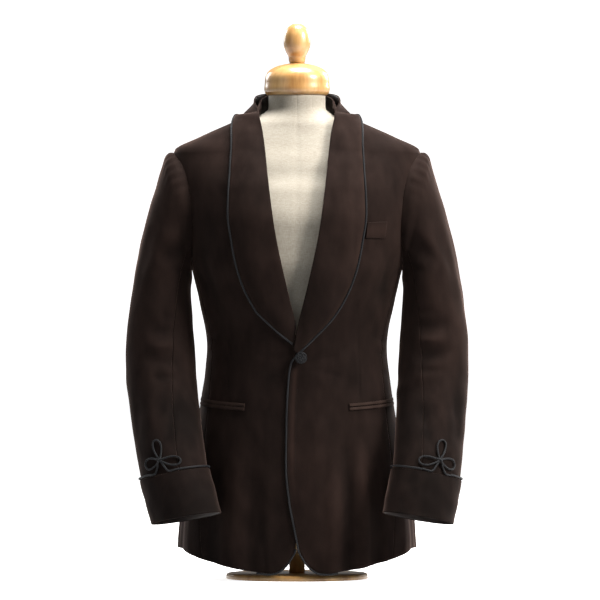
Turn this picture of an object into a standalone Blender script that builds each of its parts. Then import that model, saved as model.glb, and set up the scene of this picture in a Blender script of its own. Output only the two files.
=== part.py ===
"""Smoking jacket worn by a limbless dress form.

Metres, +Z up, the jacket's front looks along -Y. The origin is the centre of the
base's underside. Left and right are the wearer's, so the left side has x above 0.
"""
import math

import bmesh
import bpy
import numpy as np

# Driving sizes
CLOTH = 0.0024            # velvet with its canvas
SEAM = 0.0003             # gap between pieces that meet
LAY = 0.0009              # gap under a piece that lies on a panel
SHOULDER_LAY = 0.0020     # what the collar's gap grows by over the shoulder
OVERLAP_LIFT = 0.0037     # how far the left front stands off where it covers the right one
OVERLAP_NEAR = 0.030      # x where that lift is still whole
OVERLAP_FAR = 0.075       # x where it has faded out
ROUNDNESS = 2.3           # exponent of the body's oval sections
BREAK_Z = 0.395           # where the fronts fasten and the lapels start to roll
NECK_Z = 0.818            # seam of collar and shoulder
TIP_Z = 0.750             # shoulder tip
ARMPIT_Z = 0.545
ARMHOLE_DEPTH = 0.066     # half of the armhole's opening, front to back
ARMHOLE_STEPS = 20        # points round an armhole and a sleeve
HEM_Z = 0.014             # hem's lowest height, in front
HEM_RISE = 0.040          # how much higher it is at the side
HEM_RISE_FROM = 0.15      # angle where it starts to rise
HEM_RISE_TO = 1.45        # angle where it has risen
HEM_BACK_DROP = 0.003     # how much it drops again to the centre back
HEM_DROP_FROM = 2.0
HEM_DROP_TO = 3.1
CORNER_X = 0.052          # a front's corner is rounded inside this x
CORNER_REACH = 0.047      # over this width
CORNER_RISE = 0.038       # up to this height over the hem
CORNER_ROUND = 2.5        # exponent of its curve
SEAM_FOOT_Z = 0.03        # height at which the side seams' lower angles hold
SEAM_FRONT_FOOT = math.radians(50)
SEAM_BACK_FOOT = math.radians(124)
SEAM_STEP = 8             # armhole step where the side panel's seams end
SLEEVE_SPLIT = 7          # armhole step where top sleeve and under sleeve meet
SLEEVE_CROWN = 0.0045     # roundness of the sleeve's head
CUFF_TOP = 10.0           # sleeve ring at the cuff's upper edge
CUFF_OVERLAP = 0.35       # rings that the sleeve runs on inside the cuff
SWAY = 0.0096             # how far both hands hang over to the left at the cuffs' foot
SWAY_FROM = 0.37          # height below which the sleeves sway
SWAY_TO = 0.10
SWAY_FORWARD = 0.0085      # and how far forward the right one hangs, clear of the skirt
BRAID_RADIUS = 0.0019
BUTTON_RADIUS = 0.0105

# Oval sections of the jacket's body
BODY = (  # height, half width, front depth, back depth
    (0.000, 0.206, 0.127, 0.122),
    (0.060, 0.205, 0.130, 0.123),
    (0.130, 0.199, 0.131, 0.122),
    (0.210, 0.186, 0.127, 0.117),
    (0.310, 0.167, 0.118, 0.106),
    (0.410, 0.156, 0.110, 0.097),
    (0.490, 0.170, 0.120, 0.106),
    (0.560, 0.186, 0.131, 0.115),
    (0.620, 0.197, 0.131, 0.118),
    (0.680, 0.208, 0.118, 0.112),
    (0.720, 0.214, 0.098, 0.098),
    (0.750, 0.215, 0.080, 0.085),
    (0.775, 0.170, 0.070, 0.076),
    (0.793, 0.130, 0.064, 0.070),
    (0.8085, 0.0945, 0.060, 0.066),
    (0.818, 0.075, 0.058, 0.064),
    (0.860, 0.060, 0.054, 0.060),
)

# Front edge and roll line of a front, measured from the centre towards its own side
EDGE = (  # height, x
    (0.052, 0.005), (0.100, -0.0044), (0.140, -0.012), (0.200, -0.0175), (0.280, -0.0165),
    (0.360, -0.012), (0.395, -0.0045), (0.441, 0.0015), (0.490, 0.0135), (0.5425, 0.0255),
    (0.595, 0.0365), (0.6475, 0.0448), (0.700, 0.0515), (0.735, 0.0550), (0.770, 0.0585),
    (0.805, 0.0615), (0.818, 0.0625), (0.860, 0.0625),
)
FRONT_COLUMNS = 18
FRONT_CROWDING = 1.1      # columns lie closer to the front edge above 1
CORNER_COLUMNS = 8        # columns of a front that its corner takes
FRONT_FOOT_Z = 0.052      # where the front edge meets the rounded corner
CORNER_Z = 0.060          # below this the right front's edge shows beside the left one
ROLL_TUCK = 0.003         # the front stops this far inside the lapel's fold

# Sleeve rings below the armhole
SLEEVE = (  # ring, outer x, outer z, inner x, inner z, y, half depth, turn in degrees
    (1.0, 0.2320, 0.735, 0.187, 0.528, 0.000, 0.067, 0),
    (2.0, 0.2455, 0.690, 0.189, 0.508, -0.002, 0.066, 2),
    (3.0, 0.2645, 0.625, 0.188, 0.486, -0.006, 0.063, 5),
    (4.0, 0.2810, 0.555, 0.186, 0.458, -0.011, 0.060, 8),
    (5.0, 0.2930, 0.480, 0.183, 0.420, -0.019, 0.057, 12),
    (6.0, 0.2985, 0.415, 0.180, 0.378, -0.029, 0.055, 16),
    (7.0, 0.2980, 0.360, 0.178, 0.338, -0.042, 0.053, 20),
    (8.0, 0.2930, 0.305, 0.174, 0.298, -0.060, 0.052, 24),
    (9.0, 0.2860, 0.248, 0.170, 0.254, -0.083, 0.051, 27),
    (10.0, 0.2750, 0.1745, 0.1630, 0.1975, -0.110, 0.050, 30),
    (11.0, 0.2665, 0.137, 0.1540, 0.159, -0.123, 0.050, 31),
    (12.0, 0.2570, 0.100, 0.1450, 0.121, -0.134, 0.050, 32),
)

FOLD_POINTS = 12          # points along the line of a fold

# Largest folds of body and sleeves: depth is below 0 for a trough. A place on the body is
# an angle from the centre front in degrees and a height, and open is 1 where a fold runs
# out at the hem. A place on a sleeve is a step round it and a ring down it.
BODY_FOLDS = (  # side, angle, height, to angle, to height, half width, depth, open
    (1, 20, 0.275, 17, 0.010, 0.0130, 0.0036, 1),
    (1, 27, 0.285, 25, 0.010, 0.0120, -0.0046, 1),
    (1, 34, 0.290, 32, 0.010, 0.0130, 0.0040, 1),
    (1, 42, 0.285, 41, 0.010, 0.0130, -0.0046, 1),
    (-1, 24, 0.260, 21, 0.010, 0.0150, -0.0030, 1),
    (-1, 34, 0.280, 31, 0.010, 0.0150, 0.0026, 1),
    (-1, 44, 0.280, 43, 0.010, 0.0150, -0.0036, 1),
    (0, 79, 0.270, 77, 0.010, 0.0160, -0.0040, 1),
    (0, 96, 0.250, 97, 0.010, 0.0150, 0.0034, 1),
    (0, 110, 0.290, 111, 0.010, 0.0150, -0.0040, 1),
    (0, 128, 0.290, 130, 0.010, 0.0160, 0.0034, 1),
    (1, 142, 0.320, 143, 0.010, 0.0150, -0.0044, 1),
    (-1, 144, 0.310, 146, 0.010, 0.0150, -0.0040, 1),
    (0, 157, 0.290, 158, 0.010, 0.0150, 0.0030, 1),
    (1, 58, 0.590, 53, 0.460, 0.0150, -0.0044, 0),
    (-1, 58, 0.600, 52, 0.450, 0.0150, -0.0048, 0),
    (0, 119, 0.650, 142, 0.510, 0.0160, -0.0048, 0),
)
SLEEVE_FOLDS = (  # side, step, ring, to step, to ring, half width, depth, open
    (1, 6.8, 1.15, 3.9, 3.60, 0.0160, -0.0050, 0),
    (-1, 6.9, 1.25, 4.2, 3.30, 0.0165, -0.0048, 0),
    (1, 3.2, 1.80, 2.5, 5.40, 0.0170, -0.0034, 0),
    (-1, 3.0, 2.00, 2.2, 5.00, 0.0170, -0.0032, 0),
    (1, 8.0, 4.65, 3.9, 5.20, 0.0140, -0.0048, 0),
    (1, 8.0, 5.80, 3.8, 6.05, 0.0140, -0.0050, 0),
    (-1, 8.0, 4.85, 4.1, 5.35, 0.0140, -0.0044, 0),
    (-1, 8.0, 6.00, 3.9, 6.25, 0.0140, -0.0046, 0),
    (0, 13.4, 1.20, 16.3, 3.40, 0.0160, -0.0046, 0),
    (0, 12.5, 5.00, 16.8, 5.45, 0.0150, -0.0046, 0),
)

# Shawl collar: the fold and the outer edge, from the fastening to the centre back
FOLD = (  # run, x, y, z
    (0.00, -0.0045, -0.115, 0.402), (0.10, 0.0015, -0.120, 0.441), (0.22, 0.0135, -0.125, 0.490),
    (0.32, 0.0255, -0.130, 0.5425), (0.42, 0.0365, -0.130, 0.595), (0.51, 0.0448, -0.125, 0.6475),
    (0.60, 0.0515, -0.110, 0.700), (0.68, 0.0570, -0.082, 0.752), (0.75, 0.0620, -0.056, 0.794),
    (0.81, 0.0660, -0.032, 0.826), (0.87, 0.0665, 0.000, 0.842), (0.91, 0.0590, 0.030, 0.850),
    (0.95, 0.0400, 0.056, 0.855), (1.00, 0.0000, 0.068, 0.857),
)
OUTER = (  # run, x, y, z
    (0.00, 0.0005, -0.115, 0.398), (0.10, 0.0290, -0.115, 0.427), (0.22, 0.0660, -0.115, 0.468),
    (0.32, 0.0925, -0.115, 0.520), (0.42, 0.1065, -0.110, 0.585), (0.51, 0.1110, -0.100, 0.640),
    (0.60, 0.1115, -0.090, 0.695), (0.68, 0.1095, -0.066, 0.745), (0.75, 0.1055, -0.036, 0.785),
    (0.81, 0.1015, -0.006, 0.807), (0.87, 0.0935, 0.028, 0.802), (0.91, 0.0770, 0.052, 0.790),
    (0.95, 0.0480, 0.068, 0.785), (1.00, 0.0000, 0.074, 0.783),
)
FOLD_STAND = 0.010        # how far the collar's roll bows out at the neck
STAND_START = 0.68        # run where the collar starts to stand up round the neck

# Where the right half of the collar ends, beside the left front's edge
RIGHT_TIP = (  # run, x of the fold, z of the fold, x of the edge, z of the edge
    (0.00, 0.0052, 0.4200, 0.0066, 0.4160), (0.10, 0.0030, 0.4430, 0.0295, 0.4340),
    (0.22, 0.0140, 0.4900, 0.0680, 0.4700),
)
BREAST_WELT = (0.1195, 0.1525, 0.5975, 0.0285)   # x from and to, height of its foot, its width
HIP_POCKET_X = 0.090      # where a hip pocket starts
HIP_POCKET_END = 78       # angle round the body where it ends
HIP_POCKET_Z = (0.303, 0.312)
JET_WIDTH = 0.0058
JET_APART = 0.0068        # middle of the upper jet to middle of the lower one
WELT_SLANT = 0.0008       # how much the breast welt's ends differ from its middle
TRIM = 0.0018             # cloth of welt and jets

# Covered button
BUTTON_PLACE = (0.007, -0.12, 0.3895)
BUTTON_STEM = 0.0052
BUTTON = (  # radius as a share of the button's, height over the stem's top
    (0.86, 0.0), (1.00, 0.0014), (0.96, 0.0026), (0.72, 0.0042), (0.35, 0.0050),
)
BUTTON_STEM_RADIUS = 0.0024
BUTTON_BELOW_BREAK = 0.012   # the front's cord starts this far below the fastening

# Cuff knot: three loops of the same cord
KNOT_STEP = 5.4           # sleeve step of its middle
KNOT_RISE = 0.0225        # its middle over the cuff's edge
KNOT_LOOPS = (  # direction in degrees, length, half spread in degrees
    (-10, 0.038, 25), (96, 0.036, 25), (189, 0.033, 32),
)
KNOT_HOLE = 0.0060        # how near the loops come to the knot's middle
KNOT_LEGS = 0.0125        # where the cord leaves the cuff's edge for the knot, on both sides

# Dress form
FORM_SIDES = 24
FORM_HEIGHTS = (
    0.100, 0.160, 0.220, 0.280, 0.340, 0.400, 0.450, 0.500, 0.550, 0.600, 0.650, 0.690, 0.720,
    0.744, 0.760, 0.776, 0.790, 0.803, 0.812,
)
FORM_BOTTOM = FORM_HEIGHTS[0]
FORM_NECK_Z = 0.828       # where the neck has its full roundness
FORM_GAP_SHOULDER = 0.0014
FORM_GAP_BODY = 0.011
FORM_SHOULDER_Z = 0.700   # from here up the form comes close to the cloth
FORM_ARM_X = 0.180        # plate that closes the form's arm
NECK_RADIUS = 0.050
NECK_TOP = 0.850
BASE_RADIUS = 0.125
BASE_HEIGHT = 0.010
POLE_RADIUS = 0.014
NECK_CAP = (  # radius, height
    (0.0520, 0.8503), (0.0560, 0.8540), (0.0570, 0.8720), (0.0560, 0.8830), (0.0500, 0.8930),
    (0.0370, 0.9010), (0.0220, 0.9050), (0.0140, 0.9065),
)
FINIAL = (  # radius, height
    (0.0130, 0.9068), (0.0150, 0.9120), (0.0150, 0.9170), (0.0190, 0.9250), (0.0233, 0.9370),
    (0.0236, 0.9480), (0.0215, 0.9600), (0.0160, 0.9700), (0.0080, 0.9755),
)

COLOURS = {  # base colour, roughness
    "velvet": ((0.030, 0.014, 0.010, 1.0), 0.85),
    "braid": ((0.012, 0.013, 0.016, 1.0), 0.70),
    "linen": ((0.62, 0.57, 0.48, 1.0), 0.90),
    "wood": ((0.60, 0.33, 0.12, 1.0), 0.35),
}


def clear_scene():
    """Remove every object, so that the model starts from nothing."""
    for item in list(bpy.data.objects):
        bpy.data.objects.remove(item, do_unlink=True)


def material(slot):
    """The Principled material of a slot, made once."""
    found = bpy.data.materials.get(slot)
    if found:
        return found
    colour, roughness = COLOURS[slot]
    made = bpy.data.materials.new(slot)
    made.use_nodes = True
    shader = made.node_tree.nodes["Principled BSDF"]
    shader.inputs["Base Color"].default_value = colour
    shader.inputs["Roughness"].default_value = roughness
    shader.inputs["Metallic"].default_value = 0.0
    return made


def smooth_curve(table, column):
    """A monotone cubic through the rows of a table: its first column gives another one."""
    xs = np.array([row[0] for row in table], dtype=float)
    ys = np.array([row[column] for row in table], dtype=float)
    steps = np.diff(xs)
    rises = np.diff(ys) / steps
    slopes = np.zeros(len(xs))
    slopes[0] = rises[0]
    slopes[-1] = rises[-1]
    for i in range(1, len(xs) - 1):
        if rises[i - 1] * rises[i] > 0:
            slopes[i] = 2.0 * rises[i - 1] * rises[i] / (rises[i - 1] + rises[i])

    def curve(x):
        x = np.clip(np.asarray(x, dtype=float), xs[0], xs[-1])
        i = np.clip(np.searchsorted(xs, x) - 1, 0, len(xs) - 2)
        t = (x - xs[i]) / steps[i]
        low = ys[i] * (1 + 2 * t) * (1 - t) ** 2 + steps[i] * slopes[i] * t * (1 - t) ** 2
        high = ys[i + 1] * t * t * (3 - 2 * t) + steps[i] * slopes[i + 1] * t * t * (t - 1)
        return low + high

    return curve


HALF_WIDTH = smooth_curve(BODY, 1)
FRONT_DEPTH = smooth_curve(BODY, 2)
BACK_DEPTH = smooth_curve(BODY, 3)
EDGE_X = smooth_curve(EDGE, 1)
ARMHOLE_CENTRE = (TIP_Z + ARMPIT_Z) / 2
ARMHOLE_HALF = (TIP_Z - ARMPIT_Z) / 2


def fade(value, low, high):
    """0 at low and before it, 1 at high and after it, smooth between."""
    t = np.clip((np.asarray(value, dtype=float) - low) / (high - low), 0.0, 1.0)
    return t * t * (3 - 2 * t)


def unit(vectors):
    return vectors / np.linalg.norm(vectors, axis=-1, keepdims=True)


def level(points):
    """1 on the body's surface, less inside it, more outside."""
    x, y, z = points[..., 0], points[..., 1], points[..., 2]
    depth = np.where(y < 0, FRONT_DEPTH(z), BACK_DEPTH(z))
    across = np.abs(x) / HALF_WIDTH(z)
    along = np.abs(y) / depth
    return (across ** ROUNDNESS + along ** ROUNDNESS) ** (1 / ROUNDNESS)


def slope_of_level(points):
    """Gradient of level, which points out of the body."""
    probe = 0.0002
    parts = []
    for axis in range(3):
        shift = np.zeros(3)
        shift[axis] = probe
        parts.append((level(points + shift) - level(points - shift)) / (2 * probe))
    return np.stack(parts, axis=-1)


def height_over(points):
    """Distance of points from the body's surface, out of it above 0."""
    return (level(points) - 1) / np.linalg.norm(slope_of_level(points), axis=-1)


def lift(points, off):
    """Points moved along the surface's normal until they lie at height off over it."""
    points = np.array(points, dtype=float)
    for _ in range(8):
        out = unit(slope_of_level(points))
        points = points + (off - height_over(points))[..., None] * out
    return points


def on_body(angle, height, off=0.0):
    """Point of the body at an angle from the centre front, moved out by off."""
    angle, height, off = np.broadcast_arrays(angle, height, off)
    sine, cosine = np.sin(angle), np.cos(angle)
    scale = (np.abs(sine) ** ROUNDNESS + np.abs(cosine) ** ROUNDNESS) ** (-1 / ROUNDNESS)
    depth = np.where(cosine > 0, FRONT_DEPTH(height), BACK_DEPTH(height))
    base = np.stack([HALF_WIDTH(height) * sine * scale, -depth * cosine * scale, height], axis=-1)
    return base + off[..., None] * unit(slope_of_level(base))


def angle_of_share(share):
    """Angle at which the oval reaches a share of its half width."""
    part = np.minimum(np.abs(share), 0.9999) ** ROUNDNESS
    return np.sign(share) * np.arctan((part / (1 - part)) ** (1 / ROUNDNESS))


def angle_at_x(x, height):
    """Angle of the front point with this x at this height."""
    return angle_of_share(x / HALF_WIDTH(height))


def armhole(step, inset=0.0):
    """Angle and height of the armhole's edge: step 0 is the shoulder tip, then front, armpit, back."""
    turn = 2 * math.pi * np.asarray(step, dtype=float) / ARMHOLE_STEPS
    height = ARMHOLE_CENTRE + (ARMHOLE_HALF - inset) * np.cos(turn)
    front = np.sin(turn) >= 0
    depth = np.where(front, FRONT_DEPTH(height), BACK_DEPTH(height))
    reach = angle_of_share((ARMHOLE_DEPTH - inset) * np.abs(np.sin(turn)) / depth)
    return math.pi / 2 - np.where(front, reach, -reach), height


def near_line(points, line):
    """Distance of points from a polyline, and the share of its length where they are nearest."""
    best = np.full(points.shape[:-1], np.inf)
    share = np.zeros(points.shape[:-1])
    for i in range(len(line) - 1):
        span = line[i + 1] - line[i]
        t = np.clip((points - line[i]) @ span / (span @ span), 0, 1)
        gap = np.linalg.norm(points - line[i] - t[..., None] * span, axis=-1)
        closer = gap < best
        best = np.where(closer, gap, best)
        share = np.where(closer, (i + t) / (len(line) - 1), share)
    return best, share


def folds_at(points, table, place, side):
    """Height of a table's folds at points; place turns a fold's two coordinates into a point."""
    total = np.zeros(points.shape[:-1])
    t = np.linspace(0, 1, FOLD_POINTS)
    for which, a, b, to_a, to_b, half, depth, opened in table:
        if which not in (0, side):
            continue
        gap, share = near_line(points, place(a + (to_a - a) * t, b + (to_b - b) * t))
        along = fade(share, 0.0, 0.5) if opened else np.sin(math.pi * share)
        total += depth * along * np.exp(-(gap / half) ** 2)
    return total


def body_folds(angles, heights, side):
    """Height of the body's folds at angles and heights."""
    def place(angle, height):
        return on_body(np.radians(angle), height)

    return folds_at(on_body(angles, heights), BODY_FOLDS, place, side)


def add_mesh(name, points, faces, slot):
    """A closed body as its own object, with its faces turned out."""
    mesh = bpy.data.meshes.new(name)
    mesh.from_pydata([tuple(map(float, p)) for p in points], [], faces)
    work = bmesh.new()
    work.from_mesh(mesh)
    bmesh.ops.recalc_face_normals(work, faces=work.faces)
    if work.calc_volume(signed=True) < 0:
        bmesh.ops.reverse_faces(work, faces=work.faces)
    work.to_mesh(mesh)
    work.free()
    mesh.shade_smooth()
    mesh.set_sharp_from_angle(angle=math.radians(40))
    mesh.materials.append(material(slot))
    made = bpy.data.objects.new(name, mesh)
    bpy.context.scene.collection.objects.link(made)
    return made


def wall(name, inner, outer, side, slot, ring=False):
    """A cloth wall between two grids of points; ring closes it round its columns.

    Both grids are cut along the same diagonals, so that a folded wall can't cross itself.
    """
    rows, columns = inner.shape[:2]
    flip = np.array([side, 1, 1])
    points = np.concatenate([(inner * flip).reshape(-1, 3), (outer * flip).reshape(-1, 3)])
    count = rows * columns
    faces = []
    last = columns if ring else columns - 1
    for r in range(rows - 1):
        for c in range(last):
            d = (c + 1) % columns
            near, far = r * columns, (r + 1) * columns
            for half in ((near + c, near + d, far + d), (near + c, far + d, far + c)):
                faces.append(half)
                faces.append([count + q for q in reversed(half)])
    for r in (0, rows - 1):
        for c in range(last):
            a, b = r * columns + c, r * columns + (c + 1) % columns
            faces.append([a, b, count + b, count + a])
    if not ring:
        for c in (0, columns - 1):
            for r in range(rows - 1):
                a, b = r * columns + c, (r + 1) * columns + c
                faces.append([a, b, count + b, count + a])
    return add_mesh(name, points, faces, slot)


def tube(name, path, radius, side, slot, sides=5):
    """A round cord along a path, with flat ends."""
    path = np.asarray(path, dtype=float) * np.array([side, 1, 1])
    tangents = unit(np.gradient(path, axis=0))
    across = unit(np.cross(tangents[0], np.array([0.3, 1.0, 0.2])))
    points = []
    for centre, ahead in zip(path, tangents):
        across = unit(across - ahead * np.dot(across, ahead))
        up = np.cross(ahead, across)
        for i in range(sides):
            turn = 2 * math.pi * i / sides
            points.append(centre + radius * (math.cos(turn) * across + math.sin(turn) * up))
    faces = []
    for r in range(len(path) - 1):
        for c in range(sides):
            d = (c + 1) % sides
            faces.append([r * sides + c, r * sides + d, (r + 1) * sides + d, (r + 1) * sides + c])
    faces.append(list(range(sides)))
    faces.append([(len(path) - 1) * sides + c for c in range(sides)])
    return add_mesh(name, points, faces, slot)


def turned(name, profile, centre, axis, slot, segments=20):
    """A solid of revolution from radius and height pairs along an axis."""
    axis = unit(np.asarray(axis, dtype=float))
    side = np.array([1.0, 0.0, 0.0])
    side = unit(side - axis * np.dot(side, axis))
    other = np.cross(axis, side)
    points = []
    for radius, height in profile:
        for i in range(segments):
            turn = 2 * math.pi * i / segments
            spoke = math.cos(turn) * side + math.sin(turn) * other
            points.append(np.asarray(centre) + radius * spoke + height * axis)
    faces = []
    for r in range(len(profile) - 1):
        for c in range(segments):
            d = (c + 1) % segments
            faces.append([r * segments + c, r * segments + d,
                          (r + 1) * segments + d, (r + 1) * segments + c])
    faces.append(list(range(segments)))
    faces.append([(len(profile) - 1) * segments + c for c in range(segments)])
    return add_mesh(name, points, faces, slot)


def front_lift(x, side):
    """How far a front stands off the body: the left one passes over the right one."""
    if side < 0:
        return np.zeros_like(x)
    return OVERLAP_LIFT * (1 - fade(x, OVERLAP_NEAR, OVERLAP_FAR))


def panel_rows(bottom_rows):
    """Armhole steps and heights of a panel's rows above its hem part."""
    steps = np.arange(SEAM_STEP, -1, -1)
    shoulder = np.linspace(TIP_Z, NECK_Z, 6)[1:]
    return steps, shoulder, np.linspace(0, 1, bottom_rows)[:-1]


def hem_height(angle):
    """Height of the hem round the body: lowest in front."""
    rise = HEM_RISE * fade(angle, HEM_RISE_FROM, HEM_RISE_TO)
    return HEM_Z + rise - HEM_BACK_DROP * fade(angle, HEM_DROP_FROM, HEM_DROP_TO)


def front_hem(x, angle):
    """Height of a front's hem, with its rounded corner."""
    share = np.clip((CORNER_X - x) / CORNER_REACH, 0, 1)
    return hem_height(angle) + CORNER_RISE * share ** CORNER_ROUND


def front_panel(side):
    """A front, from its edge to the side seam, the armhole and the shoulder seam."""
    columns = FRONT_COLUMNS
    share = (np.arange(columns) / (columns - 1)) ** FRONT_CROWDING
    steps, shoulder, low = panel_rows(17)
    seam_angle, seam_height = armhole(SEAM_STEP)
    rows = []
    foot_angle = angle_at_x(EDGE_X(FRONT_FOOT_Z), FRONT_FOOT_Z)
    foot_end = seam_front(SEAM_FOOT_Z)
    foot = foot_angle + (foot_end - foot_angle) * share
    hem = front_hem(on_body(foot, SEAM_FOOT_Z)[:, 0], foot)
    for t in low:
        height = hem + (seam_height - hem) * t
        end = seam_front(height) - SEAM / 2 / HALF_WIDTH(height)
        start = front_start(height)
        rows.append((start + (end - start) * share, height))
    for step in steps:
        end, height = armhole(step)
        heights = np.full(columns, float(height))
        start = front_start(heights)
        if step == 0:
            end = end - SEAM / 2 / FRONT_DEPTH(height)
        rows.append((start + (end - start) * share, heights))
    for height in shoulder:
        heights = np.full(columns, height)
        start = front_start(heights)
        end = math.pi / 2 - SEAM / 2 / FRONT_DEPTH(height)
        rows.append((start + (end - start) * share, heights))
    angles = np.array([row[0] for row in rows])
    heights = np.array([row[1] for row in rows])
    extra = front_lift(on_body(angles, heights)[..., 0], side) + body_folds(angles, heights, side)
    inner = on_body(angles, heights, extra)
    outer = on_body(angles, heights, extra + CLOTH)
    name = "front_left" if side > 0 else "front_right"
    wall(name, inner, outer, side, "velvet")
    return (inner + outer) / 2


def front_start(height):
    """Angle of a front's inner edge, tucked inside the lapel's fold above the fastening."""
    tuck = ROLL_TUCK * fade(height, BREAK_Z, BREAK_Z + 0.04)
    return angle_at_x(EDGE_X(height) + tuck, height)


def seam_at(height, step, foot):
    """Angle of a side seam that runs from a foot angle up to the armhole's edge at a step."""
    top_angle, top_height = armhole(step)
    share = np.clip((height - SEAM_FOOT_Z) / (top_height - SEAM_FOOT_Z), 0, 1)
    return foot + (top_angle - foot) * share


def seam_front(height):
    """Angle of the seam between front and side panel."""
    return seam_at(height, SEAM_STEP, SEAM_FRONT_FOOT)


def seam_back(height):
    """Angle of the seam between side panel and back."""
    return seam_at(height, ARMHOLE_STEPS - SEAM_STEP, SEAM_BACK_FOOT)


def side_panel(side):
    """The side panel under the armhole, between front and back."""
    steps = np.arange(SEAM_STEP, ARMHOLE_STEPS - SEAM_STEP + 0.5, 0.5)
    share = np.linspace(0, 1, len(steps))
    top_angle, top_height = armhole(steps)
    hem = hem_height(SEAM_FRONT_FOOT + (SEAM_BACK_FOOT - SEAM_FRONT_FOOT) * share)
    angles, heights = [], []
    for t in np.linspace(0, 1, 13):
        height = hem + (top_height - hem) * t
        start = seam_front(height) + SEAM / 2 / HALF_WIDTH(height)
        end = seam_back(height) - SEAM / 2 / HALF_WIDTH(height)
        even = start + (end - start) * share
        angles.append(even + (top_angle - even) * t ** 4 * np.sin(math.pi * share))
        heights.append(height)
    angles, heights = np.array(angles), np.array(heights)
    folds = body_folds(angles, heights, side)
    name = "side_left" if side > 0 else "side_right"
    wall(name, on_body(angles, heights, folds), on_body(angles, heights, folds + CLOTH), side, "velvet")


def back_panel(side):
    """A back, from the centre seam to the side seam, the armhole and the shoulder seam."""
    share = np.linspace(0, 1, 12)
    steps, shoulder, low = panel_rows(12)
    seam_height = float(armhole(SEAM_STEP)[1])
    hem = float(hem_height(SEAM_BACK_FOOT))
    rows = []
    for t in low:
        height = hem + (seam_height - hem) * t
        rows.append((height, seam_back(height) + SEAM / 2 / HALF_WIDTH(height)))
    for step in steps:
        end, height = armhole(ARMHOLE_STEPS - step)
        if step == 0:
            end = end + SEAM / 2 / BACK_DEPTH(height)
        rows.append((float(height), float(end)))
    for height in shoulder:
        rows.append((height, math.pi / 2 + SEAM / 2 / BACK_DEPTH(height)))
    heights = np.array([row[0] for row in rows])[:, None] + 0 * share
    ends = np.array([row[1] for row in rows])[:, None]
    start = math.pi - SEAM / 2 / HALF_WIDTH(heights)
    angles = start + (ends - start) * share
    folds = body_folds(angles, heights, side)
    name = "back_left" if side > 0 else "back_right"
    wall(name, on_body(angles, heights, folds), on_body(angles, heights, folds + CLOTH), side, "velvet")


SLEEVE_CURVES = [smooth_curve(SLEEVE, column) for column in range(1, 8)]


def sleeve_ring(ring, steps):
    """Points of a sleeve's inner face at a ring: step 0 is its outer side, then its front."""
    turn = 2 * math.pi * np.asarray(steps, dtype=float) / ARMHOLE_STEPS
    outer_x, outer_z, inner_x, inner_z, y, depth, twist = [float(c(ring)) for c in SLEEVE_CURVES]
    twist = math.radians(twist)
    half = math.sqrt(((outer_x - inner_x) / 2) ** 2 - (depth * math.sin(twist)) ** 2)
    centre = np.array([(outer_x + inner_x) / 2, y, (outer_z + inner_z) / 2])
    long = np.array([half, half * math.tan(twist), (outer_z - inner_z) / 2])
    short = np.array([depth * math.sin(twist), -depth * math.cos(twist), 0.0])
    return centre + np.cos(turn)[:, None] * long + np.sin(turn)[:, None] * short


def sleeve_skin(ring, steps):
    """Points of a sleeve's inner face at a ring of 1 or more, and the directions out of it."""
    probe = 0.05
    ahead = sleeve_ring(min(ring + probe, 12.0), steps) - sleeve_ring(max(ring - probe, 1.0), steps)
    around = sleeve_ring(ring, steps + probe) - sleeve_ring(ring, steps - probe)
    return sleeve_ring(ring, steps), unit(np.cross(around, ahead))


def sway(points, side):
    """Sleeve points before mirroring, moved over to the wearer's left towards the cuff."""
    share = np.clip((SWAY_FROM - points[..., 2]) / (SWAY_FROM - SWAY_TO), 0, None) ** 1.2
    points = points.copy()
    points[..., 0] += side * SWAY * share
    if side < 0:
        points[..., 1] -= SWAY_FORWARD * share
    return points


def sleeve_place(steps, rings):
    """Points of a sleeve's inner face at pairs of a step and a ring."""
    return np.array([sleeve_ring(ring, [step])[0] for step, ring in zip(steps, rings)])


def sleeve_faces(rings, off=0.0, steps=None, side=0):
    """Inner and outer grids of a sleeve between rings, raised by off, with a side's folds."""
    steps = np.arange(ARMHOLE_STEPS) if steps is None else steps
    inner, outer = [], []
    for ring in rings:
        if ring == 0:
            outer.append(on_body(*armhole(steps), CLOTH + SEAM))
            inner.append(on_body(*armhole(steps, CLOTH), CLOTH + SEAM))
            continue
        here, out = sleeve_skin(ring, steps)
        if side and ring > 1:
            here = here + folds_at(here, SLEEVE_FOLDS, sleeve_place, side)[:, None] * out
        inner.append(here + off * out)
        outer.append(here + (off + CLOTH) * out)
    if rings[0] == 0:
        turn = 2 * math.pi * steps / ARMHOLE_STEPS
        crown = (SLEEVE_CROWN * (0.5 + 0.5 * np.cos(turn)))[:, None]
        away = unit(sleeve_ring(1.0, steps) - sleeve_ring(1.0, steps).mean(axis=0))
        inner.insert(1, (inner[0] + inner[1]) / 2 + crown * away)
        outer.insert(1, (outer[0] + outer[1]) / 2 + crown * away)
    return np.array(inner), np.array(outer)


SLEEVE_END = CUFF_TOP + CUFF_OVERLAP
SLEEVE_ROWS = [0, 1, 2, 3, 4, 4.5, 5, 5.5, 6, 6.5, 7, 8, 9, CUFF_TOP, SLEEVE_END]


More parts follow.
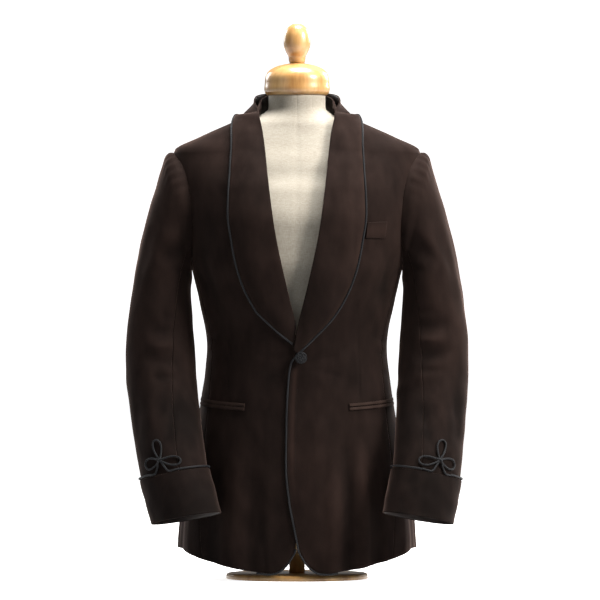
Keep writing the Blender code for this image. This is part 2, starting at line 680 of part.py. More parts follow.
def sleeve(side):
    """Top sleeve and under sleeve, which meet in a front and a back seam."""
    word = "left" if side > 0 else "right"
    inner, outer = sleeve_faces(SLEEVE_ROWS, side=side)
    top = [c % ARMHOLE_STEPS for c in range(-SLEEVE_SPLIT, SLEEVE_SPLIT + 1)]
    under = list(range(SLEEVE_SPLIT, ARMHOLE_STEPS - SLEEVE_SPLIT + 1))
    for name, picks in (("topsleeve", top), ("undersleeve", under)):
        a, b = inner[:, picks].copy(), outer[:, picks].copy()
        for grid in (a, b):
            first = unit(grid[:, 1] - grid[:, 0])
            last = unit(grid[:, -2] - grid[:, -1])
            grid[:, 0] += first * SEAM / 2
            grid[:, -1] += last * SEAM / 2
        wall(f"{name}_{word}", sway(a, side), sway(b, side), side, "velvet")


def cuff(side):
    """Turned-back cuff: a tube outside the sleeve's end."""
    word = "left" if side > 0 else "right"
    rings = [CUFF_TOP, CUFF_TOP + 0.5, CUFF_TOP + 1.0, 12.0]
    inner, outer = sleeve_faces(rings, off=CLOTH + LAY)
    wall(f"cuff_{word}", sway(inner, side), sway(outer, side), side, "velvet", ring=True)


def collar_lines(run, side):
    """Points of the collar's fold and of its outer edge."""
    fold = np.stack([smooth_curve(FOLD, c)(run) for c in (1, 2, 3)], axis=-1)
    outer = np.stack([smooth_curve(OUTER, c)(run) for c in (1, 2, 3)], axis=-1)
    if side < 0:
        tip = run < RIGHT_TIP[-1][0]
        for line, x_column, z_column in ((fold, 1, 2), (outer, 3, 4)):
            line[..., 0] = np.where(tip, smooth_curve(RIGHT_TIP, x_column)(run), line[..., 0])
            line[..., 2] = np.where(tip, smooth_curve(RIGHT_TIP, z_column)(run), line[..., 2])
    return fold, outer


def collar_bed(points, side):
    """Height over the body at which the collar lies on the panels."""
    z = points[..., 2]
    shoulder = SHOULDER_LAY * (fade(z, 0.69, 0.74) + 1.5 * fade(z, 0.785, 0.81))
    return front_lift(points[..., 0], side) + CLOTH + LAY + shoulder


def shawl_point(run, across, side):
    """Point of the shawl: run goes up from the fastening, across from the fold to the edge."""
    fold, outer = collar_lines(run, side)
    stand = fade(run, STAND_START, STAND_START + 0.15)[..., None]
    middle = (fold + outer) / 2 + stand * FOLD_STAND * unit((outer + fold) * np.array([1, 1, 0])
                                                            + np.array([0, 0, 0.06]))
    t = across[..., None]
    guess = fold * (1 - t) ** 2 + 2 * middle * t * (1 - t) + outer * t * t
    roll = 0.004 * np.sin(math.pi * np.clip(across, 0, 1)) * fade(run, 0.02, 0.2)
    settled = lift(guess, collar_bed(guess, side) + roll * (1 - stand[..., 0]))
    clear = height_over(guess)
    free = (fade(clear, 0.0, 0.012) * stand[..., 0])[..., None]
    return settled * (1 - free) + guess * free


def grid_normals(points, outward):
    """Unit normals of a grid of points, on the side that outward names."""
    normal = unit(np.cross(np.gradient(points, axis=0), np.gradient(points, axis=1)))
    turn = np.sign(np.sum(normal * outward, axis=-1, keepdims=True))
    return normal * np.where(turn == 0, 1, turn)


SHAWL_ROWS = np.linspace(0, 1, 27)


def shawl_grid(side):
    """Inner face of half of the shawl collar, and the directions out of it."""
    run, across = np.meshgrid(SHAWL_ROWS, np.linspace(0, 1, 7), indexing="ij")
    inner = shawl_point(run, across, side)
    inner[-1, :, 0] = SEAM / 2
    body_out = unit(slope_of_level(inner))
    own = fade(run, 0.0, 0.10)[..., None]
    return inner, unit(own * grid_normals(inner, body_out) + (1 - own) * body_out)


def shawl(side):
    """Half of the shawl collar, with its fold along the front and round the neck."""
    word = "left" if side > 0 else "right"
    inner, out = shawl_grid(side)
    outer = inner + CLOTH * out
    outer[-1, :, 0] = SEAM / 2
    wall(f"shawl_{word}", inner, outer, side, "velvet")


def collar_stand():
    """Band that stands up from the neck seam to the fold, inside the collar."""
    run = np.linspace(0.815, 1.0, 9)
    fold, _ = collar_lines(run, 1)
    width, depth = HALF_WIDTH(NECK_Z), np.where(fold[:, 1] < 0, FRONT_DEPTH(NECK_Z), BACK_DEPTH(NECK_Z))
    angle = np.arctan2(fold[:, 0] / width, -fold[:, 1] / depth)
    away = unit(fold * np.array([1, 1, 0]))
    foot = on_body(angle, np.full(len(run), NECK_Z)) - (CLOTH + LAY) * away
    top = fold - (2 * LAY + CLOTH) * away - np.array([0, 0, LAY])
    rows = np.linspace(0, 1, 4)[:, None, None]
    inner = foot + (top - foot) * rows
    outer = inner + CLOTH * away
    flip = np.array([-1, 1, 1])
    inner = np.concatenate([inner, (inner * flip)[:, -2::-1]], axis=1)
    outer = np.concatenate([outer, (outer * flip)[:, -2::-1]], axis=1)
    wall("collar_stand", inner, outer, 1, "velvet")


def edge_braid(side, front):
    """Cord round the collar's edge and, where it shows, down the front's edge and corner."""
    word = "left" if side > 0 else "right"
    collar, out = shawl_grid(side)
    reach = BRAID_RADIUS + 1.5 * LAY
    path = (collar[:, -1] + reach * unit(collar[:, -1] - collar[:, -2]) + BRAID_RADIUS * out[:, -1])[::-1]
    lowest = CLOTH + LAY + front_lift(path[:, 0], side) + BRAID_RADIUS
    path = lift(path, np.maximum(height_over(path), lowest))
    path[0, 0] = SEAM / 2
    corner = slice(1, CORNER_COLUMNS)
    rim = np.concatenate([front[::-1, 0], front[0, corner]])
    inward = np.concatenate([(front[:, 1] - front[:, 0])[::-1], (front[1] - front[0])[corner]])
    away = unit(np.cross(np.gradient(rim, axis=0), slope_of_level(rim)))
    away = away * -np.sign(np.sum(away * inward, axis=-1, keepdims=True))
    rim = rim + (BRAID_RADIUS + 2 * SEAM) * away
    if side < 0:
        tube(f"edge_braid_{word}", path, BRAID_RADIUS, side, "braid")
        tube(f"corner_braid_{word}", rim[rim[:, 2] < CORNER_Z], BRAID_RADIUS, side, "braid")
        return
    rim = rim[rim[:, 2] < BREAK_Z - BUTTON_BELOW_BREAK]
    high = collar_bed(rim, side) + BRAID_RADIUS - front_lift(rim[:, 0], side) - CLOTH / 2
    high = high * fade(rim[:, 2], BREAK_Z - 0.05, BREAK_Z - 0.03)
    rim = rim + high[:, None] * unit(slope_of_level(rim))
    tube(f"edge_braid_{word}", np.concatenate([path, rim]), BRAID_RADIUS, side, "braid")


def cuff_braid(side):
    """Cord along the cuff's upper edge, tied into a knot of three loops on its front."""
    word = "left" if side > 0 else "right"
    radius = 0.8 * BRAID_RADIUS
    height = CLOTH + 1.5 * LAY + radius

    def on_sleeve(ring, step):
        inner, outer = sleeve_faces([ring], steps=np.array([step]))
        return inner[0, 0] + height * unit(outer[0, 0] - inner[0, 0])

    edge_ring = CUFF_TOP - 0.065
    start = on_sleeve(edge_ring, KNOT_STEP)
    per_step = np.linalg.norm(on_sleeve(edge_ring, KNOT_STEP + 0.5) - start) / 0.5
    per_ring = np.linalg.norm(on_sleeve(edge_ring - 0.5, KNOT_STEP) - start) / 0.5

    def at(across, up):
        return on_sleeve(edge_ring - up / per_ring, KNOT_STEP + across / per_step)

    path = []
    leg = KNOT_LEGS / per_step
    for step in np.linspace(ARMHOLE_STEPS - 3.6, KNOT_STEP + leg, 15):
        path.append(on_sleeve(edge_ring, step))
    path.append(at(1.2 * KNOT_HOLE, 0.45 * KNOT_RISE))
    for direction, length, spread in KNOT_LOOPS:
        for t in np.linspace(0, 1, 11):
            turn = math.radians(direction - spread * math.cos(math.pi * t))
            reach = KNOT_HOLE + (length - KNOT_HOLE) * math.sin(math.pi * t)
            path.append(at(reach * math.cos(turn), KNOT_RISE + reach * math.sin(turn)))
    path.append(at(-1.2 * KNOT_HOLE, 0.45 * KNOT_RISE))
    for step in np.linspace(KNOT_STEP - leg, -3.2, 9):
        path.append(on_sleeve(edge_ring, step))
    tube(f"cuff_braid_{word}", sway(np.array(path), side), radius, side, "braid", sides=4)


def strip(name, side, angles, foot, width, thick, rows=2):
    """A narrow piece of cloth on a panel: its foot's heights and its width along its angles."""
    share = np.linspace(0, 1, rows)[:, None]
    heights = foot + width * share
    angles = angles + 0 * share
    bed = CLOTH + LAY + front_lift(on_body(angles, heights)[..., 0], side)
    bed = bed + body_folds(angles, heights, side)
    wall(name, on_body(angles, heights, bed), on_body(angles, heights, bed + thick), side, "velvet")


def pockets():
    """Breast welt on the left front and two jets for each hip pocket."""
    x_from, x_to, foot, width = BREAST_WELT
    angles = angle_at_x(np.linspace(x_from, x_to, 6), foot + width / 2)
    strip("breast_welt", 1, angles, np.full(6, foot), width + WELT_SLANT * np.linspace(-1, 1, 6),
          TRIM, 4)
    for side, word in ((1, "left"), (-1, "right")):
        start = float(angle_at_x(HIP_POCKET_X, HIP_POCKET_Z[0]))
        angles = np.linspace(start, math.radians(HIP_POCKET_END), 13)
        middle = np.linspace(*HIP_POCKET_Z, 13)
        for jet, rise in (("upper", JET_APART / 2), ("lower", -JET_APART / 2)):
            foot = middle + rise - JET_WIDTH / 2
            strip(f"hip_jet_{jet}_{word}", side, angles, foot, JET_WIDTH, TRIM)


def button():
    """Covered button on its stem, over the fastening."""
    place = lift(np.array([BUTTON_PLACE]), np.array([OVERLAP_LIFT + CLOTH + LAY]))
    axis = unit(slope_of_level(place))[0]
    profile = [(BUTTON_STEM_RADIUS, 0.0), (BUTTON_STEM_RADIUS, BUTTON_STEM)]
    profile += [(BUTTON_RADIUS * share, BUTTON_STEM + height) for share, height in BUTTON]
    turned("button", profile, place[0], axis, "braid", segments=16)


def form_torso():
    """Limbless torso under the jacket, just clear of it, with a neck and flat ends."""
    angles = np.arange(FORM_SIDES) / FORM_SIDES * 2 * math.pi
    rows = []
    for height in FORM_HEIGHTS:
        near = fade(height, FORM_SHOULDER_Z, TIP_Z)
        gap = FORM_GAP_BODY + (FORM_GAP_SHOULDER - FORM_GAP_BODY) * near
        row = on_body(angles, height, -gap)
        row[:, 0] = np.clip(row[:, 0], -FORM_ARM_X, FORM_ARM_X)
        rows.append(row)
    for height in (FORM_NECK_Z, NECK_TOP):
        circle = [NECK_RADIUS * np.sin(angles), -NECK_RADIUS * np.cos(angles), height + 0 * angles]
        rows.append(np.stack(circle, axis=-1))
    faces = []
    for r in range(len(rows) - 1):
        for c in range(FORM_SIDES):
            d = (c + 1) % FORM_SIDES
            faces.append([r * FORM_SIDES + c, r * FORM_SIDES + d,
                          (r + 1) * FORM_SIDES + d, (r + 1) * FORM_SIDES + c])
    faces.append(list(range(FORM_SIDES)))
    faces.append([(len(rows) - 1) * FORM_SIDES + c for c in range(FORM_SIDES)])
    add_mesh("form_torso", np.concatenate(rows), faces, "linen")


def form_wood():
    """Neck cap and knob on top, pole and round base below."""
    up = (0.0, 0.0, 1.0)
    turned("form_neck_cap", NECK_CAP, (0, 0, 0), up, "wood", segments=24)
    turned("form_finial", FINIAL, (0, 0, 0), up, "wood", segments=20)
    pole = ((POLE_RADIUS, BASE_HEIGHT + SEAM), (POLE_RADIUS, FORM_BOTTOM - SEAM))
    turned("form_pole", pole, (0, 0, 0), up, "wood", segments=16)
    base = (
        (BASE_RADIUS, 0.0), (BASE_RADIUS, BASE_HEIGHT * 0.6), (BASE_RADIUS - 0.004, BASE_HEIGHT),
    )
    turned("form_base", base, (0, 0, 0), up, "wood", segments=32)


def main():
    clear_scene()
    for side in (1, -1):
        front = front_panel(side)
        side_panel(side)
        back_panel(side)
        sleeve(side)
        cuff(side)
        shawl(side)
        edge_braid(side, front)
        cuff_braid(side)
    collar_stand()
    pockets()
    button()
    form_torso()
    form_wood()


main()
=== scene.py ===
"""Looks of a smoking jacket on a limbless dress form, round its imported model.

Metres, +Z up, the jacket's front looks along -Y. Left and right are the wearer's, so
the left side has x above 0. Panels are built for x above 0 and mirrored by side.
"""
import math

import bmesh
import bpy
import numpy as np
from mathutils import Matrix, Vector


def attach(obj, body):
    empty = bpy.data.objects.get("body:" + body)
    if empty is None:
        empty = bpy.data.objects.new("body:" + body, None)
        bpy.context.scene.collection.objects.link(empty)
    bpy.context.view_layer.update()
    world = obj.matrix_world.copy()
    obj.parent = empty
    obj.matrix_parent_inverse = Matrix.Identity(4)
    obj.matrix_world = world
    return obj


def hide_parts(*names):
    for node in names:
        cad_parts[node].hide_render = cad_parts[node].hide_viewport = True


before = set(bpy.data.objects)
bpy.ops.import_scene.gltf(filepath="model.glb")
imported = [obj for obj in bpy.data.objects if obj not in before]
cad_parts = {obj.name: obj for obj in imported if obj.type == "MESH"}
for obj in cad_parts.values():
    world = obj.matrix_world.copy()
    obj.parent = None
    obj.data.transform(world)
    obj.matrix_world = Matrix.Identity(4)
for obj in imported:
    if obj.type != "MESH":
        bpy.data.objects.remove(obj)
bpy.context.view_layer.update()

WORDS = {1: "left", -1: "right"}      # the wearer's sides
UP = np.array([0.0, 0.0, 1.0])
FLAT = np.array([1, 1, 0])
WHITE = (1.0, 1.0, 1.0, 1.0)
MM = 0.001
PROBE = 0.0002            # step that slopes of the surface are measured over

# Driving sizes of the cloth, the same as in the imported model
CLOTH = 0.0024
SEAM = 0.0003
LAY = 0.0009
SHOULDER_LAY = 0.0020
OVERLAP_LIFT = 0.0037
OVERLAP_NEAR = 0.030
OVERLAP_FAR = 0.075
ROUNDNESS = 2.3
BREAK_Z = 0.395
NECK_Z = 0.818
TIP_Z = 0.750
ARMPIT_Z = 0.545
SHOULDER_CALM = 0.85      # share of the small creases that the shoulder takes away, and where
SHOULDER_FROM = (0.69, 0.735)
ARMHOLE_DEPTH = 0.066
ARMHOLE_STEPS = 20
SEAM_STEP = 8
SLEEVE_SPLIT = 7
SLEEVE_CROWN = 0.0045
SLEEVE_EASE = 0.0007      # small waves of the ease at the sleeve head, and their length in steps
EASE_STEPS = 0.62
CUFF_TOP = 10.0
CUFF_OVERLAP = 0.35
CUFF_END = 12.0
SWAY = 0.0096             # how far both hands hang over to the left at the cuffs' foot
SWAY_FROM = 0.37          # height below which the sleeves sway
SWAY_TO = 0.10
SWAY_FORWARD = 0.0085     # and how far forward the right one hangs, clear of the skirt
BRAID_RADIUS = 0.0019
EDGE_CORD_LOW = 0.012     # how far below the fastening the front's cord starts, and where it is raised
EDGE_CORD_RISE = (0.05, 0.03)
CORD_SUNK = 0.0003        # how far the sewn cord sinks into the pile along the edge
BUTTON_RADIUS = 0.0105
ROLL_TUCK = 0.003
CORNER_Z = 0.060          # height below which a cord runs round the right front's corner
HEM_LOW = 0.014
HEM_RISE = 0.040          # how much the hem rises towards the side
HEM_RISES = (0.15, 1.45)  # between these angles
HEM_BACK = 0.003          # how much it falls again towards the centre back
HEM_FALLS = (2.0, 3.1)
CORNER_RISE = 0.038       # rounded corner of a front: its height, from which x, how wide
CORNER_X = 0.052
CORNER_WIDE = 0.047
EDGE_FOOT = 0.052         # height where a front's edge meets its corner
COLLAR_ROLL = 0.004
FOLD_STAND = 0.010
STAND_START = 0.68        # runs between which the collar rises from the body into its stand
STAND_FULL = STAND_START + 0.15
BOW_UP = 0.06             # tilts the stand's bow upwards
TRIM = 0.0018
STRIP_CROWN = 0.0004      # welt and jets stand higher in their middle
# painted highlight along the crowned middle of the welt and jets
STRIP_HIGHLIGHT = 0.25
WELT_SLANT = 0.0008
ARMHOLE_TUCK = 0.0018     # how far a panel runs on under the sleeve head
SEAM_LOW_Z = 0.03         # height where the side seams' lower angles are given
FRONT_SEAM_LOW = math.radians(50)
BACK_SEAM_LOW = math.radians(124)

# Rows and columns of the panels' grids
LOW_ROWS = 92
STEP_ROWS = 52
SHOULDER_ROWS = 16
SIDE_ROWS = 100
FRONT_COLUMNS = 84
SIDE_COLUMNS = 44
BACK_COLUMNS = 64
CORNER_COLUMNS = 35       # columns of a front's hem that its corner takes up

BODY = (  # height, half width, front depth, back depth
    (0, 0.206, 0.127, 0.122), (0.06, 0.205, 0.13, 0.123), (0.13, 0.199, 0.131, 0.122),
    (0.21, 0.186, 0.127, 0.117), (0.31, 0.167, 0.118, 0.106), (0.41, 0.156, 0.11, 0.097),
    (0.49, 0.17, 0.12, 0.106), (0.56, 0.186, 0.131, 0.115), (0.62, 0.197, 0.131, 0.118),
    (0.68, 0.208, 0.118, 0.112), (0.72, 0.214, 0.098, 0.098), (0.75, 0.215, 0.08, 0.085),
    (0.775, 0.17, 0.07, 0.076), (0.793, 0.13, 0.064, 0.07), (0.8085, 0.0945, 0.06, 0.066),
    (0.818, 0.075, 0.058, 0.064), (0.86, 0.06, 0.054, 0.06),
)
EDGE = (  # height, x
    (0.052, 0.005), (0.1, -0.0044), (0.14, -0.012), (0.2, -0.0175), (0.28, -0.0165), (0.36, -0.012),
    (0.395, -0.0045), (0.441, 0.0015), (0.49, 0.0135), (0.5425, 0.0255), (0.595, 0.0365), (0.6475, 0.0448),
    (0.7, 0.0515), (0.735, 0.055), (0.77, 0.0585), (0.805, 0.0615), (0.818, 0.0625), (0.86, 0.0625),
)
SLEEVE = (  # ring, outer x, outer z, inner x, inner z, y, half depth, turn in degrees
    (1, 0.232, 0.735, 0.187, 0.528, 0, 0.067, 0), (2, 0.2455, 0.69, 0.189, 0.508, -0.002, 0.066, 2),
    (3, 0.2645, 0.625, 0.188, 0.486, -0.006, 0.063, 5), (4, 0.281, 0.555, 0.186, 0.458, -0.011, 0.06, 8),
    (5, 0.293, 0.48, 0.183, 0.42, -0.019, 0.057, 12), (6, 0.2985, 0.415, 0.18, 0.378, -0.029, 0.055, 16),
    (7, 0.298, 0.36, 0.178, 0.338, -0.042, 0.053, 20), (8, 0.293, 0.305, 0.174, 0.298, -0.06, 0.052, 24),
    (9, 0.286, 0.248, 0.17, 0.254, -0.083, 0.051, 27), (10, 0.275, 0.1745, 0.163, 0.1975, -0.11, 0.05, 30),
    (11, 0.2665, 0.137, 0.154, 0.159, -0.123, 0.05, 31), (12, 0.257, 0.1, 0.145, 0.121, -0.134, 0.05, 32),
)
FOLD = (  # run, x, y, z
    (0, -0.0045, -0.115, 0.402), (0.1, 0.0015, -0.12, 0.441), (0.22, 0.0135, -0.125, 0.49),
    (0.32, 0.0255, -0.13, 0.5425), (0.42, 0.0365, -0.13, 0.595), (0.51, 0.0448, -0.125, 0.6475),
    (0.6, 0.0515, -0.11, 0.7), (0.68, 0.057, -0.082, 0.752), (0.75, 0.062, -0.056, 0.794),
    (0.81, 0.066, -0.032, 0.826), (0.87, 0.0665, 0, 0.842), (0.91, 0.059, 0.03, 0.85),
    (0.95, 0.04, 0.056, 0.855), (1, 0, 0.068, 0.857),
)
OUTER = (  # run, x, y, z
    (0, 0.0005, -0.115, 0.398), (0.1, 0.029, -0.115, 0.427), (0.22, 0.066, -0.115, 0.468),
    (0.32, 0.0925, -0.115, 0.52), (0.42, 0.1065, -0.11, 0.585), (0.51, 0.111, -0.1, 0.64),
    (0.6, 0.1115, -0.09, 0.695), (0.68, 0.1095, -0.066, 0.745), (0.75, 0.1055, -0.036, 0.785),
    (0.81, 0.1015, -0.006, 0.807), (0.87, 0.0935, 0.028, 0.802), (0.91, 0.077, 0.052, 0.79),
    (0.95, 0.048, 0.068, 0.785), (1, 0, 0.074, 0.783),
)
RIGHT_TIP = (  # run, x of the fold, z of the fold, x of the edge, z of the edge
    (0, 0.0052, 0.42, 0.0066, 0.416), (0.1, 0.003, 0.443, 0.0295, 0.434), (0.22, 0.014, 0.49, 0.068, 0.47),
)
BREAST_WELT = (0.1195, 0.1525, 0.5975, 0.0285)   # x from and to, height of its foot, its width
HIP_POCKET_X = 0.090
HIP_POCKET_END = math.radians(78)
HIP_POCKET_Z = (0.303, 0.312)
JET_WIDTH = 0.0058
JET_APART = 0.0068

CUFF_CORD_ENDS = (ARMHOLE_STEPS - 3.6, -3.2)   # steps where the cord goes under the sleeve
CUFF_CORD_OVER = 0.065    # how far over the cuff's edge it lies, in rings
KNOT_STEP = 5.4
KNOT_RISE = 0.0225
KNOT_LOOPS = (  # direction in degrees, length, half spread that it starts with in degrees
    (96, 0.036, 25), (189, 0.033, 32), (-10, 0.038, -25),
)
KNOT_LEGS = 0.0125        # where the cord leaves the cuff's edge for the knot, on both sides
KNOT_OVER = 0.0013        # how much higher each crossing lies than the last
KNOT_HUB = 0.0070

# Largest folds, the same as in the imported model: depth is below 0 for a trough. A place on
# the body is an angle from the centre front in degrees and a height, and open is 1 where a
# fold runs out at the hem. A place on a sleeve is a step round it and a ring down it.
BODY_FOLDS = (  # side, angle, height, to angle, to height, half width and depth in mm, open
    (1, 20, 0.275, 17, 0.01, 13, 3.6, 1), (1, 27, 0.285, 25, 0.01, 12, -4.6, 1),
    (1, 34, 0.29, 32, 0.01, 13, 4, 1), (1, 42, 0.285, 41, 0.01, 13, -4.6, 1),
    (-1, 24, 0.26, 21, 0.01, 15, -3, 1), (-1, 34, 0.28, 31, 0.01, 15, 2.6, 1),
    (-1, 44, 0.28, 43, 0.01, 15, -3.6, 1), (0, 79, 0.27, 77, 0.01, 16, -4, 1),
    (0, 96, 0.25, 97, 0.01, 15, 3.4, 1), (0, 110, 0.29, 111, 0.01, 15, -4, 1),
    (0, 128, 0.29, 130, 0.01, 16, 3.4, 1), (1, 142, 0.32, 143, 0.01, 15, -4.4, 1),
    (-1, 144, 0.31, 146, 0.01, 15, -4, 1), (0, 157, 0.29, 158, 0.01, 15, 3, 1),
    (1, 58, 0.59, 53, 0.46, 15, -4.4, 0), (-1, 58, 0.6, 52, 0.45, 15, -4.8, 0),
    (0, 119, 0.65, 142, 0.51, 16, -4.8, 0),
)
SLEEVE_FOLDS = (  # side, step, ring, to step, to ring, half width and depth in mm, open
    (1, 6.8, 1.15, 3.9, 3.6, 16, -5, 0), (-1, 6.9, 1.25, 4.2, 3.3, 16.5, -4.8, 0),
    (1, 3.2, 1.8, 2.5, 5.4, 17, -3.4, 0), (-1, 3, 2, 2.2, 5, 17, -3.2, 0),
    (1, 8, 4.65, 3.9, 5.2, 14, -4.8, 0), (1, 8, 5.8, 3.8, 6.05, 14, -5, 0),
    (-1, 8, 4.85, 4.1, 5.35, 14, -4.4, 0), (-1, 8, 6, 3.9, 6.25, 14, -4.6, 0),
    (0, 13.4, 1.2, 16.3, 3.4, 16, -4.6, 0), (0, 12.5, 5, 16.8, 5.45, 15, -4.6, 0),
)
# Smaller creases between them. Bow is how far a crease's middle is off its line, in degrees or steps.
BODY_CREASES = (  # side, angle, height, to angle, to height, bow, half width and depth in mm, open
    # skirts
    (1, 23.5, 0.19, 21.5, 0.01, 0.6, 5, -1.1, 1), (1, 30.5, 0.24, 28, 0.01, -0.6, 4.5, 1, 1),
    (1, 38, 0.225, 36.5, 0.01, 0.5, 5, -1.2, 1), (1, 46.5, 0.25, 46, 0.01, 0, 5, 1.2, 1),
    (-1, 18, 0.18, 15, 0.01, 0.8, 6, -0.9, 1), (-1, 39, 0.23, 37, 0.01, -0.8, 5.5, 1, 1),
    (0, 63, 0.26, 61, 0.01, 1, 7, 1.4, 1), (0, 88, 0.23, 88, 0.01, 0, 6, -1.2, 1),
    (0, 103, 0.25, 104, 0.01, 0, 6, 1, 1), (0, 119, 0.24, 120, 0.01, 0, 6.5, -1.2, 1),
    (1, 150, 0.26, 150, 0.01, 1, 6, 1.2, 1), (-1, 151, 0.24, 152, 0.01, -1, 6, 1.2, 1),
    (0, 168, 0.28, 170, 0.01, 0, 8.5, -2, 1),
    # pull from the button
    (1, 5, 0.385, 27, 0.394, 1, 5.5, -1.5, 0), (1, 6, 0.377, 31, 0.352, 0.5, 6, -1.8, 0),
    (1, 8, 0.366, 24, 0.325, 0.5, 5.5, 1, 0), (-1, 5, 0.388, 29, 0.398, 1, 6, -1.6, 0),
    (-1, 4, 0.376, 26, 0.343, -1, 6, -1.6, 0),
    # side of the waist
    (0, 46, 0.432, 78, 0.412, 0, 7.5, -2.4, 0), (0, 52, 0.402, 86, 0.386, 0, 7, -2.1, 0),
    (0, 50, 0.417, 80, 0.4, 0, 6, 1.2, 0), (-1, 50, 0.452, 80, 0.446, 0, 7.5, -1.4, 0),
    (1, 56, 0.366, 82, 0.352, 0, 7, -1.4, 0),
    # chest beside the armhole
    (1, 47, 0.585, 43, 0.47, -1, 10, 1.8, 0), (-1, 48, 0.59, 43, 0.47, -1, 11, 2, 0),
    (1, 66, 0.548, 57, 0.5, 0, 7, -1.8, 0), (-1, 66, 0.552, 58, 0.495, 0, 7, -2, 0),
    (1, 40, 0.705, 28, 0.66, 0, 9, -1.2, 0), (-1, 42, 0.7, 30, 0.65, 0, 9, -1.2, 0),
    # back
    (0, 126, 0.6, 148, 0.47, 3, 9, -2.2, 0), (0, 130, 0.68, 150, 0.59, 2, 11, 1.8, 0),
    (0, 112, 0.56, 128, 0.48, 2, 8, -1.8, 0), (1, 120, 0.42, 172, 0.432, 0, 7.5, -2.2, 0),
    (-1, 122, 0.436, 170, 0.444, 0, 7, -2, 0), (0, 118, 0.396, 165, 0.402, 0, 8, -2.2, 0),
    (0, 126, 0.372, 158, 0.366, 0, 7, -1.4, 0),
)
SLEEVE_CREASES = (  # side, step, ring, to step, to ring, bow, half width and depth in mm, open
    # front of the armpit
    (1, 5.2, 1.1, 2.9, 4.3, 0.3, 10, 2.2, 0), (-1, 5.4, 1.2, 3.2, 4, 0.3, 10, 2.2, 0),
    (1, 7.2, 1.6, 5.4, 3.2, 0.2, 7, -1.8, 0), (-1, 7.3, 1.7, 5.6, 3, 0.2, 7, -1.6, 0),
    # bend of the elbow, in front
    (1, 7.4, 5.2, 4.6, 5.62, 0, 7.5, 2.2, 0), (1, 7.7, 6.4, 4.8, 6.62, 0, 8, -2.8, 0),
    (1, 7.3, 4.2, 5.2, 4.6, 0, 7.5, -1.8, 0), (-1, 7.6, 5.4, 4.8, 5.8, 0, 7.5, 2, 0),
    (-1, 7.6, 6.65, 5, 6.9, 0, 8, -2.6, 0), (-1, 7.2, 4.4, 5.4, 4.75, 0, 7.5, -1.6, 0),
    # forearm
    (1, 5.2, 6.9, 4.9, 9.4, 0.3, 11, 2.2, 0), (-1, 5.6, 7, 5, 9.3, -0.3, 11.5, 2, 0),
    (1, 3.6, 7.2, 3.2, 9.3, 0.3, 11, -2.6, 0), (-1, 3.4, 7.3, 2.9, 9.2, 0.2, 12, -2.4, 0),
    (0, 7.4, 7.6, 6.1, 9.5, 0, 9, -2.8, 0),
    # outer side
    (1, 1.4, 2.4, 0.6, 6.2, 0.2, 13, -2.2, 0), (-1, 1.2, 2.8, 0.5, 6.6, -0.2, 14, -2.4, 0),
    (1, 0.2, 5.6, 19.6, 8.6, 0, 13, 1.6, 0),
    # back of the sleeve
    (0, 15, 1.5, 17.2, 4.3, 0.2, 11, 2.2, 0), (1, 12.6, 4.3, 16.2, 4.65, 0, 9, -2.6, 0),
    (1, 12.6, 5.8, 16.6, 6.1, 0, 9, -3, 0), (-1, 12.6, 4.2, 16, 4.6, 0, 9, -2.4, 0),
    (-1, 12.4, 6, 16.7, 6.3, 0, 9, -2.8, 0), (0, 14.2, 6.8, 15.2, 9.4, 0.3, 11, -2.8, 0),
    (0, 17.2, 6.6, 17.6, 9, 0, 12, 2, 0),
)
# Rolls of the collar, as a share of its width and a run up it
COLLAR_CREASES = (  # side, across, run, to across, to run, bow, half width and depth in mm, end
    (0, 0.6, 0.12, 0.62, 0.56, 0.06, 11, 1, 0), (1, 0.3, 0.2, 0.25, 0.5, 0, 9, -0.8, 0),
    (-1, 0.32, 0.18, 0.28, 0.48, 0, 9, -0.8, 0),
)
DARTS = (  # side, x, height, to x, to height, half width, depth
    (1, 0.104, 0.492, 0.1085, 0.318, 0.0016, -0.0012), (-1, 0.116, 0.48, 0.119, 0.316, 0.0016, -0.0011),
)


def smooth_curve(table, column):
    """A monotone cubic through the rows of a table: its first column gives another one."""
    xs = np.array([row[0] for row in table], dtype=float)
    ys = np.array([row[column] for row in table], dtype=float)
    steps = np.diff(xs)
    rises = np.diff(ys) / steps
    slopes = np.zeros(len(xs))
    slopes[[0, -1]] = rises[[0, -1]]
    for i in range(1, len(xs) - 1):
        if rises[i - 1] * rises[i] > 0:
            slopes[i] = 2.0 * rises[i - 1] * rises[i] / (rises[i - 1] + rises[i])

    def curve(x):
        x = np.clip(np.asarray(x, dtype=float), xs[0], xs[-1])
        i = np.clip(np.searchsorted(xs, x) - 1, 0, len(xs) - 2)
        t = (x - xs[i]) / steps[i]
        low = ys[i] * (1 + 2 * t) * (1 - t) ** 2 + steps[i] * slopes[i] * t * (1 - t) ** 2
        high = ys[i + 1] * t * t * (3 - 2 * t) + steps[i] * slopes[i + 1] * t * t * (t - 1)
        return low + high

    return curve


def curves_of(table):
    """One curve for each column of a table after its first."""
    return [smooth_curve(table, column) for column in range(1, len(table[0]))]


HALF_WIDTH, FRONT_DEPTH, BACK_DEPTH = curves_of(BODY)
EDGE_X = smooth_curve(EDGE, 1)
SLEEVE_CURVES = curves_of(SLEEVE)
FOLD_CURVES = curves_of(FOLD)
OUTER_CURVES = curves_of(OUTER)
TIP_CURVES = curves_of(RIGHT_TIP)
ARMHOLE_CENTRE = (TIP_Z + ARMPIT_Z) / 2
ARMHOLE_HALF = (TIP_Z - ARMPIT_Z) / 2


def fade(value, low, high):
    """0 at low and before it, 1 at high and after it, smooth between."""
    t = np.clip((np.asarray(value, dtype=float) - low) / (high - low), 0.0, 1.0)
    return t * t * (3 - 2 * t)


def unit(vectors):
    """Vectors of length 1 in the same directions."""
    return vectors / np.maximum(np.linalg.norm(vectors, axis=-1, keepdims=True), 1e-12)


